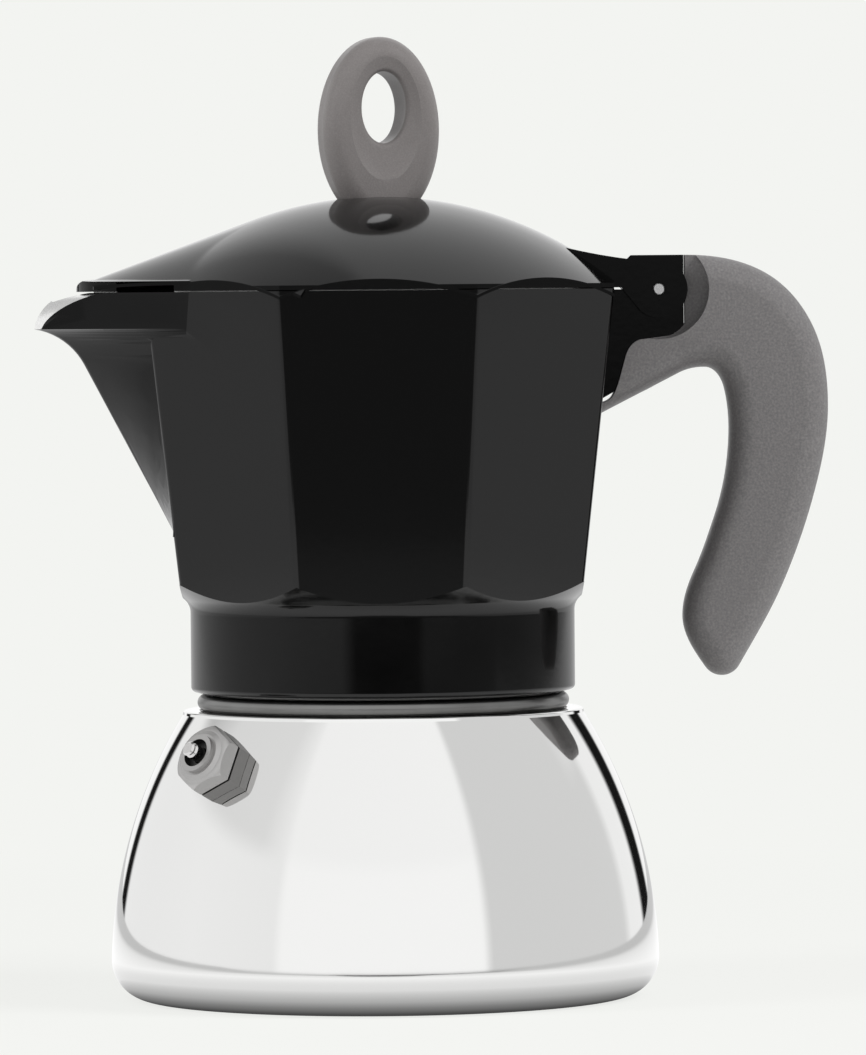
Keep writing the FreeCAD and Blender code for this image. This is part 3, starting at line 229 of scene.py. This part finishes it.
steel = mirror_polished_steel()
cast = turned_aluminium("satin_turned_aluminium", ("#737372", "#868685"), 0.32)
spun = turned_aluminium("spun_aluminium", ("#bcbcbb", "#c8c8c7"), 0.3)
bare = blasted_casting("bead_blasted_aluminium", ("#a9a9a8", "#bdbdbc"), 0.42)
ground = blasted_casting("ground_aluminium_lip", ("#e2e2e1", "#efefee"), 0.2)
enamel = black_enamel("black_baked_enamel", 1.45)
# A duller copy of the enamel: painted shade on upright edges and on the hinge post.
edge_shade_enamel = black_enamel("black_enamel_painted_shade_on_edges", 1.18)
# A duller copy of the enamel: painted shade on the spout's outside.
spout_shade_enamel = black_enamel("black_enamel_painted_shade_on_spout", 1.3)
grip_grey = soft_touch_coat("soft_touch_grip_coat", ("#636162", "#6d6b6b", "#797777"), 0.45)
knob_grey = soft_touch_coat("soft_touch_knob_coat", ("#6e6a69", "#736f6e", "#797574"), 0.34, 0.3 * MM)
nickel = plated_metal("nickel_plated_brass", "#b4b3b2", 0.4)
# A darker copy of the nickel: painted shade inside the valve's mouth.
shaded_nickel = plated_metal("nickel_painted_shade_in_the_mouth", "#4a4a49", 0.4)
stem_nickel = plated_metal("nickel_plated_stem", "#d2d1d0", 0.2)
# The boss's steel is drawn a darker grey: painted shade behind the valve's nut.
shaded_steel = plated_metal("steel_boss_painted_shade", "#858483", 0.4)
bright_steel = plated_metal("zinc_plated_steel", "#c6c6c6", 0.25)
white_gum = moulded_rubber("white_silicone", ("#d3d0c9", "#dedbd5"))
black_gum = moulded_rubber("black_nitrile", ("#1c1c1c", "#282828"))

FINISH = {"boiler_shell": steel, "boiler_liner": cast, "valve_boss": shaded_steel, "valve_washer": black_gum,
          "valve_body": nickel, "valve_seat": nickel, "valve_stem": stem_nickel, "valve_spring": bright_steel,
          "funnel_basket": spun, "funnel_tube": spun, "funnel_sieve": spun, "gasket": white_gum,
          "filter_plate": spun, "collector_body": enamel, "handle": grip_grey, "handle_screw": bright_steel,
          "hinge_pin": bright_steel, "lid": enamel, "knob": knob_grey, "knob_washer": bright_steel,
          "knob_screw": bright_steel}
BODY = {name: body for body, names in frame["record"]["behaviour"]["bodies"].items() for name in names}


# ---------------------------------------------------------------- meshes

def wear(piece, like_node, materials):
    """Gives a piece its materials, and the body of the CAD node that it belongs with."""
    for material in materials:
        piece.data.materials.append(material)
    bpy.context.scene.collection.objects.link(piece)
    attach(piece, BODY[like_node])
    return piece


def weld(mesh, recalculate=False):
    """Merges points that lie together, and turns the faces outwards where that is asked for."""
    bm = bmesh.new()
    bm.from_mesh(mesh)
    bmesh.ops.remove_doubles(bm, verts=bm.verts, dist=2e-6)
    if recalculate:
        bmesh.ops.recalc_face_normals(bm, faces=bm.faces)
    bm.to_mesh(mesh)
    bm.free()


def smooth_over(mesh, angle=17.0):
    """Smooth shading, with an edge kept wherever the surface turns by more than the angle."""
    mesh.shade_smooth()
    mesh.set_sharp_from_angle(angle=math.radians(angle))


def keep_creases(mesh, where, angle):
    """Keeps as edges the soft creases of one region, such as where two large flat faces meet."""
    bm = bmesh.new()
    bm.from_mesh(mesh)
    for edge in bm.edges:
        middle = (edge.verts[0].co + edge.verts[1].co) / 2
        if where(middle) and len(edge.link_faces) == 2 and edge.calc_face_angle(0.0) > math.radians(angle):
            edge.smooth = False
    bm.to_mesh(mesh)
    bm.free()


def grid_mesh(name, points):
    """Mesh of a grid of points[u, v] that closes both ways: one quad between each four neighbours."""
    nu, nv = points.shape[:2]
    u = np.arange(nu)[:, None]
    v = np.arange(nv)[None, :]
    a, b = u * nv + v, (u + 1) % nu * nv + v
    c, d = (u + 1) % nu * nv + (v + 1) % nv, u * nv + (v + 1) % nv
    quads = np.stack([a, b, c, d], axis=-1).reshape(-1, 4)
    mesh = bpy.data.meshes.new(name)
    mesh.from_pydata(points.reshape(-1, 3).tolist(), [], quads.tolist())
    weld(mesh, True)
    smooth_over(mesh)
    return mesh


def turned(name, profile, steps):
    """Surface of revolution: each (radius, z) of the closed profile carried once round Z."""
    r, z = np.asarray(profile, float).T
    turn = np.linspace(0, 2 * math.pi, steps, endpoint=False)[:, None]
    points = np.stack([r * np.cos(turn), r * np.sin(turn), np.broadcast_to(z, (steps, len(z)))], axis=-1)
    return bpy.data.objects.new(name, grid_mesh(name, points))


def arc(cx, cz, radius, start, end, count):
    """Points (r, z) on an arc, angles in radians."""
    turn = np.linspace(start, end, count)
    return np.stack([cx + radius * np.cos(turn), cz + radius * np.sin(turn)], axis=-1)


def circle_through(a, b, c):
    """Centre and radius of the circle through three points of a profile."""
    (ax, ay), (bx, by), (cx, cy) = a, b, c
    d = 2 * (ax * (by - cy) + bx * (cy - ay) + cx * (ay - by))
    sa, sb, sc = ax * ax + ay * ay, bx * bx + by * by, cx * cx + cy * cy
    ux = (sa * (by - cy) + sb * (cy - ay) + sc * (ay - by)) / d
    uy = (sa * (cx - bx) + sb * (ax - cx) + sc * (bx - ax)) / d
    return ux, uy, math.hypot(ax - ux, ay - uy)


def smooth_surface(name):
    """A CAD node's own surface, its loose triangles merged, as a new mesh with no normals of its own."""
    data = frame["nodes"][name].data
    points = np.empty(len(data.vertices) * 3, np.float32)
    corners = np.empty(len(data.loops), np.int32)
    data.vertices.foreach_get("co", points)
    data.loops.foreach_get("vertex_index", corners)
    mesh = bpy.data.meshes.new(name + "_surface")
    mesh.from_pydata(points.reshape(-1, 3).tolist(), [], corners.reshape(-1, 3).tolist())
    weld(mesh)
    smooth_over(mesh)
    return mesh


def dressed(name, mesh, materials):
    """A piece with that surface, which stands for the CAD node."""
    piece = bpy.data.objects.new(name + "_surface", mesh)
    even = piece.modifiers.new("even_normals", "WEIGHTED_NORMAL")
    even.keep_sharp = True
    wear(piece, name, materials)
    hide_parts(name)
    return piece


def face_table(mesh):
    """Centres and normals of all faces."""
    centres = np.empty(len(mesh.polygons) * 3, np.float32)
    normals = np.empty(len(mesh.polygons) * 3, np.float32)
    mesh.polygons.foreach_get("center", centres)
    mesh.polygons.foreach_get("normal", normals)
    return centres.reshape(-1, 3).astype(float), normals.reshape(-1, 3).astype(float)


# ---------------------------------------------------------------- boiler

wall_x, wall_z, wall_arc_r = circle_through((base_r, base_corner_r), (belly_r, belly_z),
                                            (shoulder_r, shoulder_z))


def shell_side(inset, corner_steps, wall_steps):
    """Base, corner arc and wall arc in one smooth line, moved inwards by inset, from the axis to the top."""
    reach = wall_arc_r - base_corner_r
    corner_x = wall_x + math.sqrt(reach ** 2 - (base_corner_r - wall_z) ** 2)
    toward = math.atan2(base_corner_r - wall_z, corner_x - wall_x)
    corner = arc(corner_x, base_corner_r, base_corner_r - inset, -math.pi / 2, toward, corner_steps)
    top = math.asin((shoulder_z - inset - wall_z) / (wall_arc_r - inset))
    wall = arc(wall_x, wall_z, wall_arc_r - inset, toward, top, wall_steps)
    return np.concatenate([[[0.0, inset]], corner, wall[1:]])


def make_shell():
    """Steel cladding: outer line, a small rolled edge in over the liner, and the hidden inner line back, which
    needs half as many steps."""
    roll_r = 0.6 * MM
    outer = shell_side(0.0, 36, 110)
    inner = shell_side(shell_t, 18, 55)
    outer = outer[outer[:, 1] < shoulder_z - roll_r]
    roll = arc(outer[-1, 0] - roll_r, shoulder_z - roll_r, roll_r, math.radians(30), math.radians(90), 10)
    lip = [[shell_lip_r, shoulder_z], [shell_lip_r, shoulder_z - shell_t]]
    profile = np.concatenate([outer, roll, lip, inner[::-1]])
    piece = turned("steel_cladding", profile, 384)
    wear(piece, "boiler_shell", [steel])
    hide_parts("boiler_shell")


def screw_thread(name, like_node, material, root_r, crest_r, first_z, offset):
    """One ridge of a right-hand thread: a low trapezoid of (radius, height) carried up a helix of the thread's
    pitch, its height fading to nothing over the first and last third of a turn."""
    whole = thread_turns * 2 * math.pi
    root_half, crest_half, buried = 0.8 * MM, 0.34 * MM, 0.3 * MM * (1 if crest_r > root_r else -1)
    across = np.array([[-1, -1], [-1, 0], [0, 1], [0, 1], [-1, 0], [-1, -1]])
    half = np.array([-root_half, -root_half, -crest_half, crest_half, root_half, root_half])
    steps = 96 * thread_turns
    turn = np.linspace(0, whole, steps)[:, None]
    fade = np.clip(np.minimum(turn, whole - turn) / (2 * math.pi / 3), 0.0, 1.0)
    rise = np.where(across[:, 1] == 1, crest_r - root_r, 0.0)
    sunk = np.where(across[:, 1] == -1, -buried, 0.0)
    r = root_r + fade * (rise + sunk)
    z = first_z + (turn / (2 * math.pi) + offset) * thread_pitch + fade * half
    points = np.stack([r * np.cos(turn), r * np.sin(turn), z], axis=-1)
    nv = points.shape[1]
    u, v = np.arange(steps - 1)[:, None], np.arange(nv)[None, :]
    ahead = (v + 1) % nv
    quads = np.stack([u * nv + v, u * nv + ahead, (u + 1) * nv + ahead, (u + 1) * nv + v], axis=-1)
    mesh = bpy.data.meshes.new(name)
    mesh.from_pydata(points.reshape(-1, 3).tolist(), [], quads.reshape(-1, 4).tolist())
    weld(mesh, True)
    smooth_over(mesh, 25.0)
    wear(bpy.data.objects.new(name, mesh), like_node, [material])


# ---------------------------------------------------------------- jug

def jug_half(z):
    """Half width across flats of the jug's outside at a height."""
    return jug_foot_half + (z - jug_foot_z) / (jug_rim_z - jug_foot_z) * jug_flare


def octagon_reach(x, y):
    """Distance from the axis across the flats of the octagon that a point lies on."""
    turns = np.arange(8) * math.pi / 4
    return np.max(x[:, None] * np.cos(turns) + y[:, None] * np.sin(turns), axis=1)


def on_lip(x, y, z, depth=0.45 * MM):
    """Whether faces lie on the spout's ground lip: an arc in side view whose points run back to each side."""
    cx, cz, radius = circle_through(*lip_points)
    share = np.clip((z - lip_points[0][1]) / (lip_points[2][1] - lip_points[0][1]), 0.0, 1.0)
    forward = x - (lip_back[0] + share * (lip_back[1] - lip_back[0])) * np.abs(y)
    off = np.abs(np.hypot(forward - cx, z - cz) - radius)
    return (off < depth) & (x < lip_points[2][0] + 8 * MM) & (z > lip_points[0][1] - 1 * MM)


def dress_jug():
    """The casting is enamelled outside, with painted shade on the hinge post and on the spout as duller copies
    of the enamel, bare inside, and ground bright along the pouring lip."""
    coat, metal, lip, post_shade_coat, spout_shade_coat = range(5)
    mesh = smooth_surface("collector_body")
    (x, y, z), (nx, ny, nz) = (part.T for part in face_table(mesh))
    margin = 0.05 * MM
    reach, wall = octagon_reach(x, y), jug_half(z)
    outside = (nx * x + ny * y > 0) & (np.hypot(x, y) > neck_r)
    between = (z > jug_foot_z + margin) & (z < jug_rim_z - margin)
    inside_jug = (reach < wall - jug_wall_t / 2) & between & ~outside
    inside_spout = (x < 0) & (nx * x + ny * y < 0) & (z > jug_foot_z)
    inside_skirt = (np.hypot(x, y) < jug_skirt_r - jug_wall_t) & (z < jug_foot_z) & (z > jug_low_z + margin)
    on_post = (x > post_foot_x) & (np.abs(y) < post_half_w)
    faces_the_pour = (nx < -0.3) & (nz > 0.05) & (np.abs(ny) < 0.72)
    finish = np.where((inside_jug | inside_spout | inside_skirt) & ~on_post, metal, coat)
    finish[on_lip(x, y, z) & faces_the_pour] = lip
    # The hinge post takes the duller enamel: painted shade.
    finish[(x > wall + margin) & (z > jug_foot_z)] = post_shade_coat
    # The spout's outside takes the duller enamel: painted shade.
    finish[(finish == coat) & (x < 0) & (reach > wall + margin) & (z > jug_foot_z)] = spout_shade_coat
    keep_creases(mesh, lambda at: at.x < spout_join_x and spout_join_z[0] < at.z < spout_join_z[1], 3.0)
    mesh.polygons.foreach_set("material_index", finish.astype(np.int32))
    dressed("collector_body", mesh, [enamel, bare, ground, edge_shade_enamel, spout_shade_enamel])


def make_skirt_enamel():
    """The enamelled skirt and the flare above it: a turned profile, of the rounded lower edge, the upright
    band, a soft bend and a cone, which at each heading stops where the cone meets the flat of the octagon. A
    line that follows it inside the casting's wall closes it."""
    steps, proud, buried, row = 720, 0.03 * MM, 0.5 * MM, 0.1 * MM
    turn = np.linspace(0, 2 * math.pi, steps, endpoint=False)
    lean = np.cos((turn + math.pi / 8) % (math.pi / 4) - math.pi / 8)
    grow = jug_flare / (jug_rim_z - jug_foot_z)
    corner_z = jug_foot_z - foot_slope * (jug_foot_half - jug_skirt_r)
    edge_z = (((jug_foot_half - grow * jug_foot_z) / lean - jug_skirt_r + corner_z / foot_slope)
              / (1 / foot_slope - grow / lean))
    edge_r = jug_skirt_r + (edge_z - corner_z) / foot_slope
    tilt = math.atan(foot_slope)
    round_edge = arc(jug_skirt_r - skirt_round, jug_low_z + skirt_round, skirt_round, -math.pi / 2, 0.0, 10)
    t = np.linspace(0, 1, 12)[:, None]
    low = np.array([jug_skirt_r, corner_z - foot_bend])
    corner = np.array([jug_skirt_r, corner_z])
    high = corner + foot_bend * np.array([math.cos(tilt), math.sin(tilt)])
    bend = (1 - t) ** 2 * low + 2 * t * (1 - t) * corner + t ** 2 * high
    band = [round_edge[-1] + [0, row], low - [0, row]]
    fixed = np.concatenate([round_edge, band, bend])
    fixed = np.broadcast_to(fixed, (steps,) + fixed.shape)
    edge = np.stack([edge_r, edge_z], axis=-1)
    share = np.linspace(0, 1, 8)[None, 1:, None]
    cone = high + share * (edge[:, None, :] - high)
    inner = np.array([high, low, [jug_skirt_r, jug_low_z + skirt_round]]) - [buried, 0]
    inner = np.broadcast_to(inner, (steps,) + inner.shape)
    back = edge[:, None, :] - [buried, 0]
    profile = np.concatenate([fixed + [proud, 0], cone + [proud, 0], back, inner], axis=1)
    r, z = profile[..., 0], profile[..., 1]
    points = np.stack([r * np.cos(turn)[:, None], r * np.sin(turn)[:, None], z], axis=-1)
    skirt = bpy.data.objects.new("jug_skirt_enamel", grid_mesh("jug_skirt_enamel", points))
    wear(skirt, "collector_body", [enamel])


def dress_lid():
    """Enamelled above, with painted shade on upright edges as a duller copy of the enamel, and bare below and
    round the lip that drops into the jug.
    """
    coat, metal, edge_shade_coat = range(3)
    mesh = smooth_surface("lid")
    (x, y, z), (nx, ny, nz) = (part.T for part in face_table(mesh))
    lid_low_z = jug_rim_z + 0.2 * MM
    bracket_x = jug_half(jug_rim_z) + 0.5 * MM
    below = (nz < -0.5) & (z > lid_low_z + 0.3 * MM) & (x < bracket_x)
    drop = z < lid_low_z - 0.05 * MM
    finish = np.where((below | drop) & (x < bracket_x), metal, coat)
    finish[(finish == coat) & (np.abs(nz) < 0.3)] = edge_shade_coat
    mesh.polygons.foreach_set("material_index", finish.astype(np.int32))
    dressed("lid", mesh, [enamel, bare, edge_shade_enamel])


def soft_lower(a, b, width):
    """The lower of two heights, with a rounded change from one to the other."""
    near = np.clip(width - np.abs(a - b), 0.0, None) / np.maximum(width, 1e-9)
    return np.minimum(a, b) - near ** 2 * width / 4


def lid_height(x, y):
    """Height of the lid's top: the higher of the dome's sphere and, before it, the roof over the spout. The
    roof's ridge leaves the dome as its tangent and is as round across as the dome is there, and a slope takes
    it down to the eaves along each side of the vee."""
    dome_mid_z = dome_top_z - dome_r
    dome = dome_mid_z + np.sqrt(dome_r ** 2 - x ** 2 - y ** 2)
    fall = roof_front_z - dome_mid_z
    touch = math.atan2(fall, roof_front_x) + math.acos(dome_r / math.hypot(roof_front_x, fall))
    touch_x, round_r = dome_r * math.cos(touch), dome_r * math.sin(touch)
    ridge = roof_front_z + (x + roof_front_x) / math.tan(touch)
    crown = ridge - round_r + np.sqrt(round_r ** 2 - y ** 2)
    vee_half = (vee_corner_x + x) * vee_root_half / (vee_corner_x - vee_root_x)
    side = roof_eave_z + roof_pitch * (vee_half - np.abs(y))
    before = np.clip((-touch_x - x) / (roof_front_x - touch_x), 0.0, 1.0)
    roof = np.where(before > 0, soft_lower(crown, side, roof_hip_soft), 0.0)
    return -soft_lower(-dome, -roof, before * roof_valley_soft)


def lid_outline(turn):
    """Distance from the axis to the lid's outline at each heading: the rim's octagon, or the spout's vee cut
    off square at the front of the ridge, whichever reaches further."""
    half = jug_half(jug_rim_z)
    flats = np.arange(8) * math.pi / 4
    octagon = half / np.max(np.cos(turn[:, None] - flats), axis=1)
    run = vee_corner_x - vee_root_x
    slant = np.hypot(run, vee_root_half)
    side = vee_corner_x * vee_root_half / slant
    ahead, aside = -np.cos(turn), np.abs(np.sin(turn))
    with np.errstate(divide="ignore"):
        vee = np.minimum(side / np.maximum(ahead * vee_root_half / slant + aside * run / slant, 1e-6),
                         np.where(ahead > 0.3, roof_front_x / np.maximum(ahead, 0.3), 0.0))
    return np.maximum(octagon, vee)


def make_lid_cover():
    """The lid's top skin: the height field over the outline, as rings that shrink to the crown, closed by the
    same rings lower down inside the lid's wall."""
    steps, rings, proud, sunk = 720, 56, 0.03 * MM, 0.6 * MM
    turn = np.linspace(0, 2 * math.pi, steps, endpoint=False)
    reach = (lid_outline(turn) + proud)[:, None]
    share = np.linspace(1.0, 0.0, rings)[None, :]
    x = reach * share * np.cos(turn)[:, None]
    y = reach * share * np.sin(turn)[:, None]
    z = lid_height(x, y)
    top = np.stack([x, y, z + proud], axis=-1)
    under = np.stack([x, y, z - sunk], axis=-1)[:, ::-1]
    mesh = grid_mesh("lid_cover", np.concatenate([top, under], axis=1))
    # Upright faces take the duller enamel: painted shade.
    upright = np.abs(face_table(mesh)[1][:, 2]) < 0.3
    mesh.polygons.foreach_set("material_index", upright.astype(np.int32))
    wear(bpy.data.objects.new("lid_cover", mesh), "lid", [enamel, edge_shade_enamel])


def dress_valve():
    """The valve's body, with painted shade: a darker copy of the nickel inside its mouth."""
    mesh = smooth_surface("valve_body")
    (x, y, z), _ = (part.T for part in face_table(mesh))
    tilt = math.asin((valve_z - wall_z) / wall_arc_r)
    wall = wall_x + wall_arc_r * math.cos(tilt)
    heading = np.array([math.cos(valve_turn), math.sin(valve_turn), 0.0])
    axis = math.cos(tilt) * heading + [0.0, 0.0, math.sin(tilt)]
    off = np.stack([x, y, z], axis=-1) - (wall * heading + [0.0, 0.0, valve_z])
    along = off @ axis
    away = np.linalg.norm(off - along[:, None] * axis, axis=1)
    finish = np.where((away < valve_mouth_r + 0.02 * MM) & (along > 0), 1, 0)
    mesh.polygons.foreach_set("material_index", finish.astype(np.int32))
    dressed("valve_body", mesh, [nickel, shaded_nickel])


make_shell()
dress_jug()
make_skirt_enamel()
dress_lid()
make_lid_cover()
dress_valve()
for node_name, material in FINISH.items():
    if node_name not in ("boiler_shell", "collector_body", "lid", "valve_body"):
        dressed(node_name, smooth_surface(node_name), [material])

thread_first_z = shoulder_z + 4.6 * MM
screw_thread("neck_thread", "boiler_liner", cast, neck_r, neck_r + thread_depth, thread_first_z, 0.0)
screw_thread("skirt_thread", "collector_body", bare, neck_bore_r, neck_bore_r - thread_depth, thread_first_z,
             -0.5)


# ---------------------------------------------------------------- floor, light and camera

def studio_floor():
    """Pale matt floor that keeps the shadow, and shows the backdrop's tone to the camera. What mirrors see of
    it
    is a painted card: a bright table with painted shadow darkening towards the pot's foot, darker beyond its
    edge, and a painted dark patch like a black flag lying in front."""
    half, front, back, reach = 1.2, -0.4, 3.0, 0.6
    painted_dark_place, painted_dark_core_r, painted_dark_edge_r = (0.0, -0.4, 0.0), 0.07, 0.14
    mesh = bpy.data.meshes.new("floor")
    corners = [(-half, front, 0), (half, front, 0), (half, back, 0), (-half, back, 0)]
    mesh.from_pydata(corners, [], [(0, 1, 2, 3)])
    floor = bpy.data.objects.new("floor", mesh)
    bpy.context.scene.collection.objects.link(floor)
    material, tree, place = finish_tree("pale_studio_floor")
    matt = node(tree, "ShaderNodeBsdfDiffuse", {"Color": linear("#f0f0ee")})
    glow = node(tree, "ShaderNodeEmission", {"Color": linear("#f3f4f1"), "Strength": 1.0})
    path = node(tree, "ShaderNodeLightPath")
    away = node(tree, "ShaderNodeVectorMath", {0: place}, operation="LENGTH")
    fade = node(tree, "ShaderNodeMapRange", {"Value": away.outputs["Value"], "From Min": 0.12,
                                             "From Max": 0.45, "To Min": 0.86, "To Max": 1.0})
    part = node(tree, "ShaderNodeMath", {0: path.outputs["Is Camera Ray"], 1: fade.outputs[0]},
                operation="MULTIPLY")
    shown = node(tree, "ShaderNodeMixShader", {0: part.outputs[0], 1: matt.outputs[0], 2: glow.outputs[0]})
    share = node(tree, "ShaderNodeMath", {0: away.outputs["Value"], 1: 1 / reach}, operation="MULTIPLY")
    # The card's tones by distance from the pot: the dark ones near the foot are painted shadow.
    tones = [(48, 0.03), (50.5, 0.15), (54.3, 0.55), (61, 0.9), (87, 1.04), (120, 1.12), (155, 1.12),
             (360, 0.95), (500, 0.65)]
    tone = stops(node(tree, "ShaderNodeValToRGB", {0: share.outputs[0]}),
                 [(r * MM / reach, value) for r, value in tones])
    # A painted dark patch in front of the pot, seen only in reflections.
    gap = node(tree, "ShaderNodeVectorMath", {0: place, 1: painted_dark_place}, operation="DISTANCE")
    shade = node(tree, "ShaderNodeMapRange", {"Value": gap.outputs["Value"], "From Min": painted_dark_core_r,
                                              "From Max": painted_dark_edge_r, "To Min": 0.3, "To Max": 1.0},
                 interpolation_type="SMOOTHSTEP")
    painted_card_tone = node(tree, "ShaderNodeMath", {0: tone, 1: shade.outputs[0]}, operation="MULTIPLY")
    card = node(tree, "ShaderNodeEmission", {"Color": linear("#ffffff"), "Strength": painted_card_tone.outputs[0]})
    mixed = node(tree, "ShaderNodeMixShader", {0: path.outputs["Is Glossy Ray"], 1: shown.outputs[0],
                                               2: card.outputs[0]})
    node(tree, "ShaderNodeOutputMaterial", {"Surface": mixed.outputs[0]})
    mesh.materials.append(material)


def studio_world():
    """Pale surround, with the tones of the studio's panels and black flags by direction for what reflects it.
    Headings are in degrees from the camera's side, positive to its right."""
    world = bpy.data.worlds.new("studio")
    bpy.context.scene.world = world
    world.use_nodes = True
    tree = world.node_tree
    tree.nodes.clear()
    toward = node(tree, "ShaderNodeTexCoord").outputs["Generated"]
    split = node(tree, "ShaderNodeSeparateXYZ", {0: toward})
    back = node(tree, "ShaderNodeMath", {0: split.outputs[1], 1: -1.0}, operation="MULTIPLY")
    turn = node(tree, "ShaderNodeMath", {0: split.outputs[0], 1: back.outputs[0]}, operation="ARCTAN2")
    share = node(tree, "ShaderNodeMapRange", {"Value": turn.outputs[0], "From Min": -math.pi,
                                              "From Max": math.pi}).outputs[0]
    height = split.outputs[2]

    def around(tones):
        """Tones by heading."""
        return stops(node(tree, "ShaderNodeValToRGB", {0: share}),
                     [((degrees + 180) / 360, tone) for degrees, tone in tones])

    def over(low_tone, high_tone, low, high):
        """One band of tones under another, with a soft step between two heights."""
        rise = node(tree, "ShaderNodeMapRange", {"Value": height, "From Min": low, "From Max": high},
                    interpolation_type="SMOOTHSTEP")
        mix = node(tree, "ShaderNodeMix", {0: rise.outputs[0], 2: low_tone, 3: high_tone}, data_type="FLOAT")
        return mix.outputs[0]

    below = around([(-180, 0.8), (-75, 0.65), (-45, 0.16), (45, 0.16), (75, 0.65), (180, 0.8)])
    level = around([(-180, 0.8), (-140, 0.54), (-60, 0.5), (-24, 0.42), (-16, 0.01), (21, 0.01), (26, 0.17),
                    (80, 0.15), (125, 0.2), (150, 0.5), (180, 0.8)])
    panels = around([(-180, 1.05), (-157, 1.05), (-155.5, 0.01), (-148.5, 0.01), (-146, 1.0), (-90, 1.05),
                     (-48, 1.02), (-44, 1.14), (42, 1.15), (46, 0.79), (60, 0.79), (122, 0.8), (128, 1.05),
                     (141, 1.05), (144, 0.01), (154.5, 0.01), (157, 1.05), (180, 1.05)])
    above = around([(-180, 1.11), (-167, 1.05), (-155, 0.62), (-125, 0.62), (-105, 0.85), (-60, 0.88),
                    (-48, 1.02), (-44, 1.1), (42, 1.12), (46, 0.79), (110, 0.8), (135, 1.11), (180, 1.11)])
    tone = over(below, level, -0.075, -0.055)
    tone = over(tone, panels, -0.022, -0.004)
    tone = over(tone, above, 0.36, 0.46)
    seen = node(tree, "ShaderNodeBackground", {"Color": linear("#f3f4f1"), "Strength": 1.0})
    lit = node(tree, "ShaderNodeBackground", {"Color": linear("#ffffff"), "Strength": tone})
    fill = node(tree, "ShaderNodeBackground", {"Color": linear("#ffffff"), "Strength": 0.45})
    path = node(tree, "ShaderNodeLightPath")
    soft = node(tree, "ShaderNodeMixShader", {0: path.outputs["Is Diffuse Ray"], 1: lit.outputs[0],
                                              2: fill.outputs[0]})
    mixed = node(tree, "ShaderNodeMixShader", {0: path.outputs["Is Camera Ray"], 1: soft.outputs[0],
                                               2: seen.outputs[0]})
    node(tree, "ShaderNodeOutputWorld", {"Surface": mixed.outputs[0]})


def soft_light(name, place, target, width, height, power):
    """A soft box that faces its target. The world's panels stand for it in the mirror finishes."""
    lamp = bpy.data.lights.new(name, "AREA")
    lamp.shape, lamp.size, lamp.size_y, lamp.energy = "RECTANGLE", width, height, power
    holder = bpy.data.objects.new(name, lamp)
    bpy.context.scene.collection.objects.link(holder)
    holder.location = place
    holder.rotation_mode = "QUATERNION"
    holder.rotation_quaternion = (Vector(target) - Vector(place)).to_track_quat("-Z", "Y")
    holder.visible_glossy = False


def make_camera():
    """Level with the jug's rim, looking along +Y and a little down, rolled by half a degree."""
    eye, aim, roll = Vector((0.01024, -1.70, 0.1412)), Vector((0.01024, 0.0, 0.0939)), math.radians(-0.49)
    lens = bpy.data.cameras.new("camera")
    lens.lens, lens.sensor_width, lens.clip_start, lens.clip_end = 290.0, 36.0, 0.1, 20.0
    camera = bpy.data.objects.new("camera", lens)
    bpy.context.scene.collection.objects.link(camera)
    camera.location = eye
    camera.rotation_mode = "QUATERNION"
    camera.rotation_quaternion = (aim - eye).to_track_quat("-Z", "Y") @ Quaternion((0, 0, 1), roll)
    bpy.context.scene.camera = camera


studio_floor()
studio_world()
pot_middle = (0, 0, 0.1)
soft_light("left_softbox", (-1.0, -0.5, 0.5), pot_middle, 0.4, 0.9, 8.0)
soft_light("right_softbox", (1.0, -0.45, 0.9), pot_middle, 0.6, 0.8, 14.0)
make_camera()
bpy.context.scene.view_settings.view_transform = "Standard"
